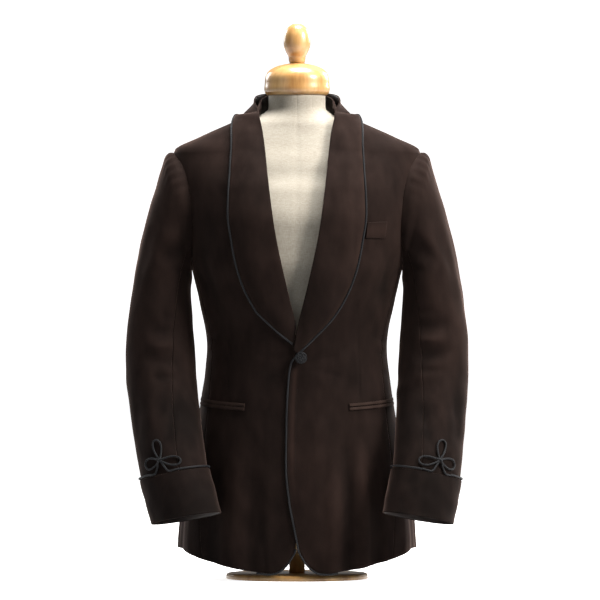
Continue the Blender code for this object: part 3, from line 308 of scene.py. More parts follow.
def level(points):
    """1 on the body's surface, less inside it, more outside."""
    x, y, z = points[..., 0], points[..., 1], points[..., 2]
    depth = np.where(y < 0, FRONT_DEPTH(z), BACK_DEPTH(z))
    across = np.abs(x) / HALF_WIDTH(z)
    along = np.abs(y) / depth
    return (across ** ROUNDNESS + along ** ROUNDNESS) ** (1 / ROUNDNESS)


def slope_of_level(points):
    """Gradient of level, which points out of the body."""
    shifts = PROBE * np.eye(3)
    return np.stack([(level(points + s) - level(points - s)) / (2 * PROBE) for s in shifts], axis=-1)


def outward(points):
    """Unit normals of the body's surface beside points."""
    return unit(slope_of_level(points))


def height_over(points):
    """Distance of points from the body's surface, out of it above 0."""
    return (level(points) - 1) / np.linalg.norm(slope_of_level(points), axis=-1)


def lift(points, off):
    """Points moved along the surface's normal until they lie at height off over it."""
    points = np.array(points, dtype=float)
    for _ in range(8):
        points = points + (off - height_over(points))[..., None] * outward(points)
    return points


def on_body(angle, height, off=0.0):
    """Point of the body at an angle from the centre front, moved out by off."""
    angle, height, off = np.broadcast_arrays(angle, height, off)
    sine, cosine = np.sin(angle), np.cos(angle)
    scale = (np.abs(sine) ** ROUNDNESS + np.abs(cosine) ** ROUNDNESS) ** (-1 / ROUNDNESS)
    depth = np.where(cosine > 0, FRONT_DEPTH(height), BACK_DEPTH(height))
    base = np.stack([HALF_WIDTH(height) * sine * scale, -depth * cosine * scale, height], axis=-1)
    return base + off[..., None] * outward(base)


def angle_of_share(share):
    """Angle at which the oval reaches a share of its half width."""
    part = np.minimum(np.abs(share), 0.9999) ** ROUNDNESS
    return np.sign(share) * np.arctan((part / (1 - part)) ** (1 / ROUNDNESS))


def angle_at_x(x, height):
    """Angle of the front point with this x at this height."""
    return angle_of_share(x / HALF_WIDTH(height))


def armhole(step, inset=0.0):
    """Angle and height of the armhole's edge: step 0 is the shoulder tip, then front, armpit, back."""
    turn = 2 * math.pi * np.asarray(step, dtype=float) / ARMHOLE_STEPS
    height = ARMHOLE_CENTRE + (ARMHOLE_HALF - inset) * np.cos(turn)
    front = np.sin(turn) >= 0
    depth = np.where(front, FRONT_DEPTH(height), BACK_DEPTH(height))
    reach = angle_of_share((ARMHOLE_DEPTH - inset) * np.abs(np.sin(turn)) / depth)
    return math.pi / 2 - np.where(front, reach, -reach), height


def near_line(points, line):
    """Distance of points from a polyline, and the share of its length where they are nearest."""
    flat = points.reshape(-1, 3)
    best = np.full(len(flat), np.inf)
    share = np.zeros(len(flat))
    for i in range(len(line) - 1):
        span = line[i + 1] - line[i]
        t = np.clip((flat - line[i]) @ span / max(float(span @ span), 1e-12), 0, 1)
        gap = np.linalg.norm(flat - line[i] - t[:, None] * span, axis=1)
        closer = gap < best
        best = np.where(closer, gap, best)
        share = np.where(closer, (i + t) / (len(line) - 1), share)
    return best.reshape(points.shape[:-1]), share.reshape(points.shape[:-1])


def creases(points, table, place, side):
    """Height of a table's folds over points; place turns a fold's two coordinates into a point."""
    total = np.zeros(points.shape[:-1])
    t = np.linspace(0, 1, 15)
    for which, a, b, to_a, to_b, *bow, half, depth, opened in table:
        if which not in (0, side):
            continue
        line = place(a + (to_a - a) * t + sum(bow) * np.sin(math.pi * t), b + (to_b - b) * t)
        gap, share = near_line(points, line)
        along = fade(share, 0.0, 0.5) if opened else np.sin(math.pi * share)
        total += depth * MM * along * np.exp(-(gap / half / MM) ** 2)
    return total


def rumple(points, side):
    """Slow uneven swell of cloth, a fraction of a millimetre."""
    x, y, z = points[..., 0] * side, points[..., 1], points[..., 2]
    swell = np.sin(71 * x + 38 * z + 1.3) * np.sin(52 * z - 23 * x + 47 * y)
    swell = swell + 0.6 * np.sin(118 * z + 63 * x + 2.1) * np.sin(97 * x - 58 * y + 0.4)
    return 0.00035 * swell


def make_object(name, points, faces, material, extra=None, inner_from=None):
    """A mesh object with its faces turned out, smooth shading and a value on its points that paints light and
    shade into its colour.
    """
    mesh = bpy.data.meshes.new(name)
    mesh.from_pydata(np.asarray(points).tolist(), [], faces)
    mesh.materials.append(material)
    if inner_from is not None:
        mesh.materials.append(LINING)
        indices = np.zeros(len(faces), dtype=np.int32)
        indices[inner_from[0]:inner_from[1]] = 1
        mesh.polygons.foreach_set("material_index", indices)
    values = np.zeros(len(points)) if extra is None else extra
    # value on the points that the materials turn into painted light and shade
    mesh.attributes.new("painted_light", "FLOAT", "POINT").data.foreach_set("value", values.astype(np.float32))
    work = bmesh.new()
    work.from_mesh(mesh)
    bmesh.ops.recalc_face_normals(work, faces=work.faces)
    if work.calc_volume(signed=True) < 0:
        bmesh.ops.reverse_faces(work, faces=work.faces)
    work.to_mesh(mesh)
    work.free()
    mesh.shade_smooth()
    made = bpy.data.objects.new(name, mesh)
    bpy.context.scene.collection.objects.link(made)
    return made


def dress(piece, slot, *nodes):
    """Ride the piece on the root body and hide the imported parts it stands for; slot is not used."""
    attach(piece, "root")
    if nodes:
        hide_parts(*nodes)
    return piece


def grid_normals(points, toward):
    """Unit normals of a grid of points, on the side that toward points to."""
    normal = unit(np.cross(np.gradient(points, axis=0), np.gradient(points, axis=1)))
    turn = np.sign(np.sum(normal * toward, axis=-1, keepdims=True))
    return normal * np.where(turn == 0, 1, turn)


def rim_of(rows, columns):
    """Row and column of the points round a grid's border, in order."""
    border = [(0, c) for c in range(columns)]
    border += [(r, columns - 1) for r in range(1, rows)]
    border += [(rows - 1, c) for c in range(columns - 2, -1, -1)]
    border += [(r, 0) for r in range(rows - 2, 0, -1)]
    return border


def grid_faces(rows, columns, around=False, ahead=False, ends=False):
    """Faces over a grid of points: around and ahead close it on itself, ends puts a lid on both."""
    faces = []
    for r in range(rows if ahead else rows - 1):
        s = (r + 1) % rows
        for c in range(columns if around else columns - 1):
            d = (c + 1) % columns
            faces.append([r * columns + c, r * columns + d, s * columns + d, s * columns + c])
    if ends:
        faces += [[r * columns + c for c in range(columns)] for r in (0, rows - 1)]
    return faces


RIM_TURNS = np.radians([45, 90, 135])   # where the rounded edge has its points


def cloth(node, outer, normals, thick, side, material, painted_light=None, ring=False, lined=True, inset=1.0):
    """A closed shell for a cloth node, with rounded edges, from its outer grid and normals that point out."""
    rows, columns = outer.shape[:2]
    half = thick / 2
    outer = outer.copy()
    painted_light = np.zeros((rows, columns)) if painted_light is None else painted_light
    loops = [rim_of(rows, columns)]
    if ring:
        loops = [[(r, c) for c in range(columns)] for r in (0, rows - 1)]
    away = {}
    for r, c in sum(loops, []):
        out = np.zeros(3)
        if r in (0, rows - 1):
            out = out + unit(outer[r, c] - outer[1 if r == 0 else -2, c])
        if not ring and c in (0, columns - 1):
            out = out + unit(outer[r, c] - outer[r, 1 if c == 0 else -2])
        away[(r, c)] = unit(out - normals[r, c] * np.dot(out, normals[r, c]))
    for (r, c), out in away.items():
        outer[r, c] -= inset * half * out
    count = rows * columns
    points = [outer.reshape(-1, 3), (outer - thick * normals).reshape(-1, 3)]
    values = [painted_light.reshape(-1), painted_light.reshape(-1)]
    faces = grid_faces(rows, columns, around=ring)
    skin = len(faces)
    faces += [[count + q for q in reversed(face)] for face in faces]
    start = 2 * count
    for loop in loops:
        chains = []
        for r, c in loop:
            middle = outer[r, c] - half * normals[r, c]
            points.append(np.array([middle + half * (math.cos(a) * normals[r, c] + math.sin(a) * away[(r, c)])
                                    for a in RIM_TURNS]))
            values.append(np.full(len(RIM_TURNS), painted_light[r, c]))
            chains.append([r * columns + c, start, start + 1, start + 2, count + r * columns + c])
            start += len(RIM_TURNS)
        for i, chain in enumerate(chains):
            other = chains[(i + 1) % len(chains)]
            faces += [[chain[k], other[k], other[k + 1], chain[k + 1]] for k in range(4)]
    points = np.concatenate(points) * np.array([side, 1, 1])
    inner_from = (skin, 2 * skin) if lined else None
    made = make_object(f"{node}_cloth", points, faces, material, np.concatenate(values), inner_from)
    return dress(made, "velvet", node)


def declare(grid, ring=False):
    """Measure the flat cut of a cloth piece along its grid; the sizes are not kept."""
    closed = np.concatenate([grid, grid[:, :1]], axis=1) if ring else grid
    across = np.linalg.norm(np.diff(closed, axis=1), axis=-1).sum(axis=1).max()
    down = np.linalg.norm(np.diff(closed, axis=0), axis=-1).sum(axis=0).max()


def front_lift(x, side):
    """How far a front stands off the body: the left one passes over the right one."""
    if side < 0:
        return np.zeros_like(x)
    return OVERLAP_LIFT * (1 - fade(x, OVERLAP_NEAR, OVERLAP_FAR))


def hem_height(angle):
    """Height of the hem round the body: lowest in front."""
    return HEM_LOW + HEM_RISE * fade(angle, *HEM_RISES) - HEM_BACK * fade(angle, *HEM_FALLS)


def front_hem(x, angle):
    """Height of a front's hem, with its rounded corner."""
    return hem_height(angle) + CORNER_RISE * np.clip((CORNER_X - x) / CORNER_WIDE, 0, 1) ** 2.5


def front_start(height):
    """Angle of a front's inner edge, tucked inside the lapel's fold above the fastening."""
    tuck = ROLL_TUCK * fade(height, BREAK_Z, BREAK_Z + 0.04)
    return angle_at_x(EDGE_X(height) + tuck, height)


def seam_line(height, low_angle, step):
    """Angle at a height on a seam that climbs from the hem to a step of the armhole."""
    top_angle, top_height = armhole(step)
    share = np.clip((height - SEAM_LOW_Z) / (top_height - SEAM_LOW_Z), 0, 1)
    return low_angle + (top_angle - low_angle) * share


def seam_front(height):
    """Angle of the seam between front and side panel."""
    return seam_line(height, FRONT_SEAM_LOW, SEAM_STEP)


def seam_back(height):
    """Angle of the seam between side panel and back."""
    return seam_line(height, BACK_SEAM_LOW, ARMHOLE_STEPS - SEAM_STEP)


def body_place(angle, height):
    """Point of the body at an angle in degrees and a height."""
    return on_body(np.radians(angle), height)


def main_folds(angles, heights, side):
    """Height of a body panel's largest folds."""
    return creases(on_body(angles, heights), BODY_FOLDS, body_place, side)


def body_folds(angles, heights, side):
    """Height of the folds of a body panel, quieter over the shoulder, which lies on the form."""
    points = on_body(angles, heights)
    folds = creases(points, BODY_CREASES, body_place, side) + rumple(points, side)
    folds = main_folds(angles, heights, side) + folds * (1 - SHOULDER_CALM * fade(heights, *SHOULDER_FROM))
    t = np.linspace(0, 1, 15)
    for which, x, z, to_x, to_z, half, depth in DARTS:
        if which == side:
            heights_on = z + (to_z - z) * t
            line = on_body(angle_at_x(x + (to_x - x) * t, heights_on), heights_on)
            gap, share = near_line(points, line)
            folds = folds + depth * np.exp(-(gap / half) ** 2) * fade(share, 0, 0.3)
    return folds


def panel_rows():
    """Shares below the armhole, armhole steps and shoulder heights of a panel's rows."""
    steps = np.linspace(SEAM_STEP, 0, STEP_ROWS)
    return np.linspace(0, 1, LOW_ROWS)[:-1], steps, np.linspace(TIP_Z, NECK_Z, SHOULDER_ROWS)[1:]


def front_angles(tuck=ARMHOLE_TUCK):
    """Angles and heights of a front's grid, from its edge to the side seam."""
    share = (np.arange(FRONT_COLUMNS) / (FRONT_COLUMNS - 1)) ** 1.1
    low, steps, shoulder = panel_rows()
    seam_height = armhole(SEAM_STEP)[1]
    foot_angle = angle_at_x(EDGE_X(EDGE_FOOT), EDGE_FOOT)
    foot = foot_angle + (seam_front(SEAM_LOW_Z) - foot_angle) * share
    hem = front_hem(on_body(foot, SEAM_LOW_Z)[:, 0], foot)
    heights = [hem + (seam_height - hem) * t for t in low]
    ends = [seam_front(height) - SEAM / 2 / HALF_WIDTH(height) for height in heights]
    for step in steps:
        end, height = armhole(step, tuck)
        heights.append(height + 0 * share)
        ends.append(end - SEAM / 2 / FRONT_DEPTH(height) * (step == 0) + 0 * share)
    for height in shoulder:
        heights.append(height + 0 * share)
        ends.append(math.pi / 2 - SEAM / 2 / FRONT_DEPTH(height) + 0 * share)
    heights = np.array(heights)
    start = front_start(heights)
    return start + (np.array(ends) - start) * share, heights


def side_angles():
    """Angles and heights of a side panel's grid."""
    steps = np.linspace(SEAM_STEP, ARMHOLE_STEPS - SEAM_STEP, SIDE_COLUMNS)
    share = np.linspace(0, 1, SIDE_COLUMNS)
    top_angle, top_height = armhole(steps)
    hem = hem_height(seam_front(SEAM_LOW_Z) + (seam_back(SEAM_LOW_Z) - seam_front(SEAM_LOW_Z)) * share)
    t = np.linspace(0, 1, SIDE_ROWS)[:, None]
    heights = hem + (top_height - hem) * t
    start = seam_front(heights) + SEAM / 2 / HALF_WIDTH(heights)
    end = seam_back(heights) - SEAM / 2 / HALF_WIDTH(heights)
    even = start + (end - start) * share
    return even + (top_angle - even) * t ** 4 * np.sin(math.pi * share), heights


def back_angles():
    """Angles and heights of a back's grid, from the centre seam to the side seam."""
    low, steps, shoulder = panel_rows()
    seam_height = float(armhole(SEAM_STEP)[1])
    hem = float(hem_height(seam_back(SEAM_LOW_Z)))
    rows = []
    for height in hem + (seam_height - hem) * low:
        rows.append((height, seam_back(height) + SEAM / 2 / HALF_WIDTH(height)))
    for step in steps:
        end, height = armhole(ARMHOLE_STEPS - step, ARMHOLE_TUCK)
        rows.append((height, end + SEAM / 2 / BACK_DEPTH(height) * (step == 0)))
    for height in shoulder:
        rows.append((height, math.pi / 2 + SEAM / 2 / BACK_DEPTH(height)))
    share = np.linspace(0, 1, BACK_COLUMNS)
    heights, ends = np.array(rows, dtype=float).T[:, :, None]
    heights = heights + 0 * share
    start = math.pi - SEAM / 2 / HALF_WIDTH(heights)
    return start + (ends - start) * share, heights


FOLD_LIGHT_PER_METRE = 42.0    # painted light on fold ridges and painted shade in troughs, per metre of fold height
CUFF_PAINTED_SHADE = 0.35          # painted shade that darkens the whole turned-back cuff
FOREARM_PAINTED_SHADE = 0.25       # painted shade that darkens the forearm
FOREARM_RINGS = (6.0, 8.5)
COLLAR_EDGE_HIGHLIGHT = 0.18        # painted highlight along the collar's outer edge
EDGE_HIGHLIGHT = 0.45          # painted highlight in a band along the left front's edge
EDGE_HIGHLIGHT_IN = 0.0090     # how far in from the edge, and how wide
EDGE_HIGHLIGHT_HALF = 0.0040
EDGE_HIGHLIGHT_FROM = (0.12, 0.24)
EDGE_HIGHLIGHT_TO = (0.362, 0.382)


def body_panel(kind, side):
    """A front, side or back panel as a shell, with its folds."""
    angles, heights = {"front": front_angles, "side": side_angles, "back": back_angles}[kind]()
    folds = body_folds(angles, heights, side)
    # painted light on the folds' ridges and painted shade in their troughs
    painted_light = FOLD_LIGHT_PER_METRE * folds
    x = on_body(angles, heights)[..., 0]
    extra = front_lift(x, side) if kind == "front" else 0 * x
    if kind == "front" and side > 0:
        # painted highlight in a band along the left front's edge
        strip_on = fade(heights, *EDGE_HIGHLIGHT_FROM) * (1 - fade(heights, *EDGE_HIGHLIGHT_TO))
        off_line = (x - EDGE_X(heights) - EDGE_HIGHLIGHT_IN) / EDGE_HIGHLIGHT_HALF
        painted_light = painted_light + EDGE_HIGHLIGHT * strip_on * np.exp(-off_line ** 2)
    outer = on_body(angles, heights, extra + CLOTH + folds)
    piece = cloth(f"{kind}_{WORDS[side]}", outer, grid_normals(outer, outward(outer)), CLOTH, side,
                  VELVET, painted_light=painted_light)
    declare(outer)


def sleeve_ring(ring, steps):
    """Points of a sleeve's inner face at a ring: step 0 is its outer side, then its front."""
    turn = 2 * math.pi * np.asarray(steps, dtype=float) / ARMHOLE_STEPS
    outer_x, outer_z, inner_x, inner_z, y, depth, twist = [float(c(ring)) for c in SLEEVE_CURVES]
    twist = math.radians(twist)
    half = math.sqrt(((outer_x - inner_x) / 2) ** 2 - (depth * math.sin(twist)) ** 2)
    centre = np.array([(outer_x + inner_x) / 2, y, (outer_z + inner_z) / 2])
    long = np.array([half, half * math.tan(twist), (outer_z - inner_z) / 2])
    short = np.array([depth * math.sin(twist), -depth * math.cos(twist), 0.0])
    return centre + np.cos(turn)[:, None] * long + np.sin(turn)[:, None] * short


def sleeve_skin(ring, steps, off=0.0):
    """Points and normals of a sleeve's face at a ring of 1 or more, raised by off."""
    probe = 0.05
    here = sleeve_ring(ring, steps)
    ahead = sleeve_ring(min(ring + probe, CUFF_END), steps) - sleeve_ring(max(ring - probe, 1.0), steps)
    around = sleeve_ring(ring, steps + probe) - sleeve_ring(ring, steps - probe)
    out = unit(np.cross(around, ahead))
    return here + off * out, out


def sway(points, side):
    """Sleeve points before mirroring, moved over to the wearer's left towards the cuff."""
    share = np.clip((SWAY_FROM - points[..., 2]) / (SWAY_FROM - SWAY_TO), 0, None) ** 1.2
    points = points.copy()
    points[..., 0] += side * SWAY * share
    if side < 0:
        points[..., 1] -= SWAY_FORWARD * share
    return points


def sleeve_place(step, ring):
    """Point of the sleeve's outer face at a step and a ring, for each pair."""
    steps, rings = np.broadcast_arrays(step, ring)
    return np.array([sleeve_skin(float(r), np.array([s]), CLOTH)[0][0] for s, r in zip(steps, rings)])


def sleeve_grid(steps, rings, side):
    """A sleeve's outer grid with its folds: rings below 1 lead from the armhole over the crown."""
    first, second = (sleeve_skin(ring, steps, CLOTH)[0] for ring in (1.0, 1.6))
    hole = on_body(*armhole(steps), CLOTH + SEAM)
    turn = 2 * math.pi * steps / ARMHOLE_STEPS
    crown = (SLEEVE_CROWN * (0.5 + 0.5 * np.cos(turn)))[:, None]
    away = unit(sleeve_ring(1.0, steps) - sleeve_ring(1.0, steps).mean(axis=0))
    top = (hole + first) / 2 + crown * away
    rows = []
    for ring in rings:
        if ring >= 1:
            rows.append(sleeve_skin(ring, steps, CLOTH)[0])
        elif ring <= 0.5:
            rows.append(hermite(hole, (top - hole) * 1.15, top, (first - hole) / 2, ring * 2))
        else:
            rows.append(hermite(top, (first - hole) / 2, first, (second - first) * 0.5 / 0.6, ring * 2 - 1))
    grid = np.array(rows)
    normals = grid_normals(grid, grid - sleeve_axis(rings)[:, None])
    folds = creases(grid, SLEEVE_FOLDS + SLEEVE_CREASES, sleeve_place, side) + rumple(grid, side)
    ring_row = np.asarray(rings)[:, None]
    ease = SLEEVE_EASE * np.cos(steps * 2 * math.pi / EASE_STEPS + side) * fade(ring_row, 0.05, 0.3)
    ease = ease * (1 - fade(ring_row, 0.5, 1.6)) * fade(np.cos(turn), 0.1, 0.7)
    folds = folds * fade(ring_row, 0.0, 0.5) * (1 - fade(ring_row, CUFF_TOP - 0.9, CUFF_TOP - 0.1)) + ease
    return grid + folds[..., None] * normals, folds


def hermite(a, slope_a, b, slope_b, t):
    """A cubic from a to b with these slopes at its ends."""
    return ((1 + 2 * t) * (1 - t) ** 2 * a + t * (1 - t) ** 2 * slope_a
            + t * t * (3 - 2 * t) * b + t * t * (t - 1) * slope_b)


def sleeve_axis(rings):
    """Middle of the sleeve at each ring."""
    whole = np.arange(ARMHOLE_STEPS)
    return np.array([sleeve_ring(max(float(ring), 1.0), whole).mean(axis=0) for ring in rings])


def seam_trim(grid):
    """A grid's two side edges drawn in by half a seam."""
    grid = grid.copy()
    grid[:, 0] += unit(grid[:, 1] - grid[:, 0]) * SEAM / 2
    grid[:, -1] += unit(grid[:, -2] - grid[:, -1]) * SEAM / 2
    return grid


def sleeve(side):
    """Top sleeve and under sleeve."""
    word = WORDS[side]
    rings = np.concatenate([np.linspace(0, 1, 15)[:-1], np.linspace(1, CUFF_TOP + CUFF_OVERLAP, 130)])
    axis = sway(sleeve_axis(rings), side)[:, None]
    # painted shade down the forearm, growing towards the cuff
    tone_shift = FOREARM_PAINTED_SHADE * fade(rings, *FOREARM_RINGS)[:, None]
    for kind, steps in (
        ("topsleeve", np.linspace(-SLEEVE_SPLIT, SLEEVE_SPLIT, 92)),
        ("undersleeve", np.linspace(SLEEVE_SPLIT, ARMHOLE_STEPS - SLEEVE_SPLIT, 42)),
    ):
        grid, folds = sleeve_grid(steps, rings, side)
        grid = sway(seam_trim(grid), side)
        piece = cloth(f"{kind}_{word}", grid, grid_normals(grid, grid - axis), CLOTH, side, VELVET,
                      painted_light=FOLD_LIGHT_PER_METRE * folds - tone_shift)
        declare(grid)


def cuff(side, braid):
    """Turned-back cuff with a soft fold at its foot."""
    word = WORDS[side]
    rings = np.linspace(CUFF_TOP, CUFF_END, 44)
    steps = np.linspace(0, ARMHOLE_STEPS, 145)[:-1]
    grid = sway(np.array([sleeve_skin(ring, steps, 2 * CLOTH + LAY)[0] for ring in rings]), side)
    wrapped = np.concatenate([grid[:, -1:], grid, grid[:, :1]], axis=1)
    normals = grid_normals(wrapped, wrapped - sway(sleeve_axis(rings), side)[:, None])[:, 1:-1]
    swell = rumple(grid * 1.4, side) * 1.2 * fade(rings[:, None], CUFF_TOP, CUFF_TOP + 0.6)
    grid = grid + swell[..., None] * normals
    # painted light and shade on the cuff's swell, and painted shade over the whole cuff
    piece = cloth(f"cuff_{word}", grid, normals, CLOTH, side, VELVET,
                  painted_light=FOLD_LIGHT_PER_METRE * swell - CUFF_PAINTED_SHADE, ring=True)
    declare(grid, ring=True)


def collar_lines(run, side):
    """Points of the collar's fold and of its outer edge."""
    fold, outer = (np.stack([curve(run) for curve in curves], axis=-1)
                   for curves in (FOLD_CURVES, OUTER_CURVES))
    if side < 0:
        tip = run < RIGHT_TIP[-1][0]
        for line, axis, curve in zip((fold, fold, outer, outer), (0, 2, 0, 2), TIP_CURVES):
            line[..., axis] = np.where(tip, curve(run), line[..., axis])
    return fold, outer


def collar_bed(points, side):
    """Height over the body at which the collar lies on the panels."""
    z = points[..., 2]
    shoulder = SHOULDER_LAY * (fade(z, 0.69, 0.74) + 1.5 * fade(z, 0.785, 0.81))
    return front_lift(points[..., 0], side) + CLOTH + LAY + shoulder


def shawl_point(run, across, side):
    """Point of the shawl: run goes up from the fastening, across from the fold to the edge."""
    fold, outer = collar_lines(run, side)
    stand = fade(run, STAND_START, STAND_FULL)[..., None]
    bow = FOLD_STAND * unit((outer + fold) * FLAT + BOW_UP * UP)
    middle = (fold + outer) / 2 + stand * bow
    t = across[..., None]
    guess = fold * (1 - t) ** 2 + 2 * middle * t * (1 - t) + outer * t * t
    roll = COLLAR_ROLL * np.sin(math.pi * np.clip(across, 0, 1)) * fade(run, 0.02, 0.2)
    settled = lift(guess, collar_bed(guess, side) + roll * (1 - stand[..., 0]))
    free = (fade(height_over(guess), 0.0, 0.012) * stand[..., 0])[..., None]
    return settled * (1 - free) + guess * free


def shawl_grid(side, rows, columns):
    """Inner face of half of the shawl collar and the directions out of it."""
    run, across = np.meshgrid(np.linspace(0, 1, rows), np.linspace(0, 1, columns), indexing="ij")
    inner = shawl_point(run, across, side)
    inner[-1, :, 0] = SEAM / 2
    own = fade(run, 0.0, 0.10)[..., None]
    out = outward(inner)
    return inner, unit(own * grid_normals(inner, out) + (1 - own) * out), across


def shawl(side, braid):
    """Half of the shawl collar."""
    word = WORDS[side]
    inner, normals, across = shawl_grid(side, 190, 30)
    folds = creases(inner, COLLAR_CREASES, lambda share, run: shawl_point(run, share, side), side)
    folds = folds + 0.6 * np.abs(rumple(inner, side))
    outer = inner + (CLOTH + np.maximum(folds, -0.0004))[..., None] * normals
    outer[-1, :, 0] = SEAM / 2
    # painted light and shade on the collar's rolls, and a painted highlight along its outer edge
    piece = cloth(f"shawl_{word}", outer, normals, CLOTH, side, COLLAR_VELVET,
                  painted_light=FOLD_LIGHT_PER_METRE * folds + COLLAR_EDGE_HIGHLIGHT * fade(across, 0.86, 0.99), inset=0.0)
    declare(outer)


def collar_stand():
    """Band inside the collar, from the neck seam to the fold."""
    run = np.linspace(0.815, 1.0, 60)
    fold, _ = collar_lines(run, 1)
    width, depth = HALF_WIDTH(NECK_Z), np.where(fold[:, 1] < 0, FRONT_DEPTH(NECK_Z), BACK_DEPTH(NECK_Z))
    angle = np.arctan2(fold[:, 0] / width, -fold[:, 1] / depth)
    away = unit(fold * FLAT)
    foot = on_body(angle, np.full(len(run), NECK_Z)) - (CLOTH + LAY) * away
    top = fold - (2 * LAY + CLOTH) * away - LAY * UP
    outer = foot + (top - foot) * np.linspace(0, 1, 14)[:, None, None] + CLOTH * away
    flip = np.array([-1, 1, 1])
    outer = np.concatenate([outer, (outer * flip)[:, -2::-1]], axis=1)
    away = np.concatenate([away, (away * flip)[-2::-1]], axis=0)
    piece = cloth("collar_stand", outer, grid_normals(outer, away[None]), CLOTH, 1, COLLAR_VELVET)
    declare(outer)


def through(points, spacing, closed=False):
    """A smooth path through points, with its own points an even spacing apart."""
    points = np.asarray(points, dtype=float)
    if closed:
        padded = np.concatenate([points[-1:], points, points[:2]])
    else:
        padded = np.concatenate([[2 * points[0] - points[1]], points, [2 * points[-1] - points[-2]]])
    dense = []
    for i in range(len(padded) - 3):
        a, b, c, d = padded[i:i + 4]
        reach = np.linalg.norm(c - b)
        before, after = np.linalg.norm(b - a), np.linalg.norm(d - c)
        slope_b = reach * ((b - a) / before * reach + (c - b) / reach * before) / (before + reach)
        slope_c = reach * ((c - b) / reach * after + (d - c) / after * reach) / (after + reach)
        for t in np.linspace(0, 1, max(2, int(reach / spacing) + 2))[:-1]:
            dense.append(hermite(b, slope_b, c, slope_c, t))
    dense.append(padded[-2])
    dense = np.array(dense)
    length = lengths_along(dense)
    even = np.linspace(0, length[-1], max(8, int(length[-1] / spacing)))
    return np.stack([np.interp(even, length, dense[:, axis]) for axis in range(3)], axis=-1)


def lengths_along(path):
    """Length of a path up to each of its points."""
    return np.concatenate([[0], np.cumsum(np.linalg.norm(np.diff(path, axis=0), axis=1))])


CORD_SIDES = 15
CORD_STRANDS = 3
CORD_LAY = 3.4            # length of one turn of the twist, in cord diameters
CORD_GROOVE = 0.30        # depth of the grooves between strands, in cord radiuses


def cord(name, path, radius, side=1, spacing=0.0009, joined=False):
    """A twisted cord of three strands along a path."""
    path = through(np.asarray(path) * np.array([side, 1, 1]), spacing, closed=joined)
    if joined:
        path = path[:-1]
        tangents = unit(np.roll(path, -1, axis=0) - np.roll(path, 1, axis=0))
    else:
        tangents = unit(np.gradient(path, axis=0))
    across = unit(np.cross(tangents[0], np.array([0.3, 1.0, 0.2])))
    length = lengths_along(path)
    turns = 2 * math.pi * np.arange(CORD_SIDES) / CORD_SIDES
    points, values = [], []
    for centre, ahead, along in zip(path, tangents, length):
        across = unit(across - ahead * np.dot(across, ahead))
        up = np.cross(ahead, across)
        phase = turns - math.pi * along / CORD_LAY / radius * side
        reach = radius * (1 - CORD_GROOVE + CORD_GROOVE * np.abs(np.cos(CORD_STRANDS * phase / 2)) ** 0.7)
        spokes = np.cos(turns)[:, None] * across + np.sin(turns)[:, None] * up
        points.append(centre + reach[:, None] * spokes)
        # strand profile, which the cord's material turns into painted shade in the grooves
        values.append(reach / radius)
    faces = grid_faces(len(path), CORD_SIDES, around=True, ahead=joined, ends=not joined)
    return make_object(name, np.concatenate(points), faces, BRAID, np.concatenate(values))


def front_rim(side):
    """Middle of a front's cloth along its edge, from the neck down and round the corner."""
    angles, heights = front_angles(tuck=0.0)
    extra = front_lift(on_body(angles, heights)[..., 0], side) + main_folds(angles, heights, side)
    mid = on_body(angles, heights, extra + CLOTH / 2)
    corner = slice(1, CORNER_COLUMNS)
    rim = np.concatenate([mid[::-1, 0], mid[0, corner]])
    inward = np.concatenate([(mid[:, 1] - mid[:, 0])[::-1], (mid[1] - mid[0])[corner]])
    away = unit(np.cross(np.gradient(rim, axis=0), slope_of_level(rim)))
    return rim, away * -np.sign(np.sum(away * inward, axis=-1, keepdims=True))


def edge_braid(side):
    """Cord round the collar's edge and, where it shows, down the front's edge and corner."""
    collar, out, _ = shawl_grid(side, 60, 7)
    reach = BRAID_RADIUS + CLOTH / 2
    path = (collar[:, -1] + reach * unit(collar[:, -1] - collar[:, -2]) + BRAID_RADIUS * out[:, -1])[::-1]
    lowest = CLOTH + LAY + front_lift(path[:, 0], side) + BRAID_RADIUS
    path = lift(path, np.maximum(height_over(path), lowest))
    path[0, 0] = SEAM / 2
    rim, away = front_rim(side)
    rim = rim + (BRAID_RADIUS - CORD_SUNK) * away
    if side > 0:
        low = rim[rim[:, 2] < BREAK_Z - EDGE_CORD_LOW]
        high = collar_bed(low, side) + BRAID_RADIUS - front_lift(low[:, 0], side) - CLOTH / 2
        high = high * fade(low[:, 2], BREAK_Z - EDGE_CORD_RISE[0], BREAK_Z - EDGE_CORD_RISE[1])
        path = np.concatenate([path, low + high[:, None] * outward(low)])
    made = cord(f"edge_braid_{WORDS[side]}_cord", path, BRAID_RADIUS, side)
    dress(made, "braid", f"edge_braid_{WORDS[side]}")
    if side > 0:
        return made, []
    corner = cord("corner_braid_right_cord", rim[rim[:, 2] < CORNER_Z], BRAID_RADIUS, side)
    return made, [dress(corner, "braid", "corner_braid_right")]


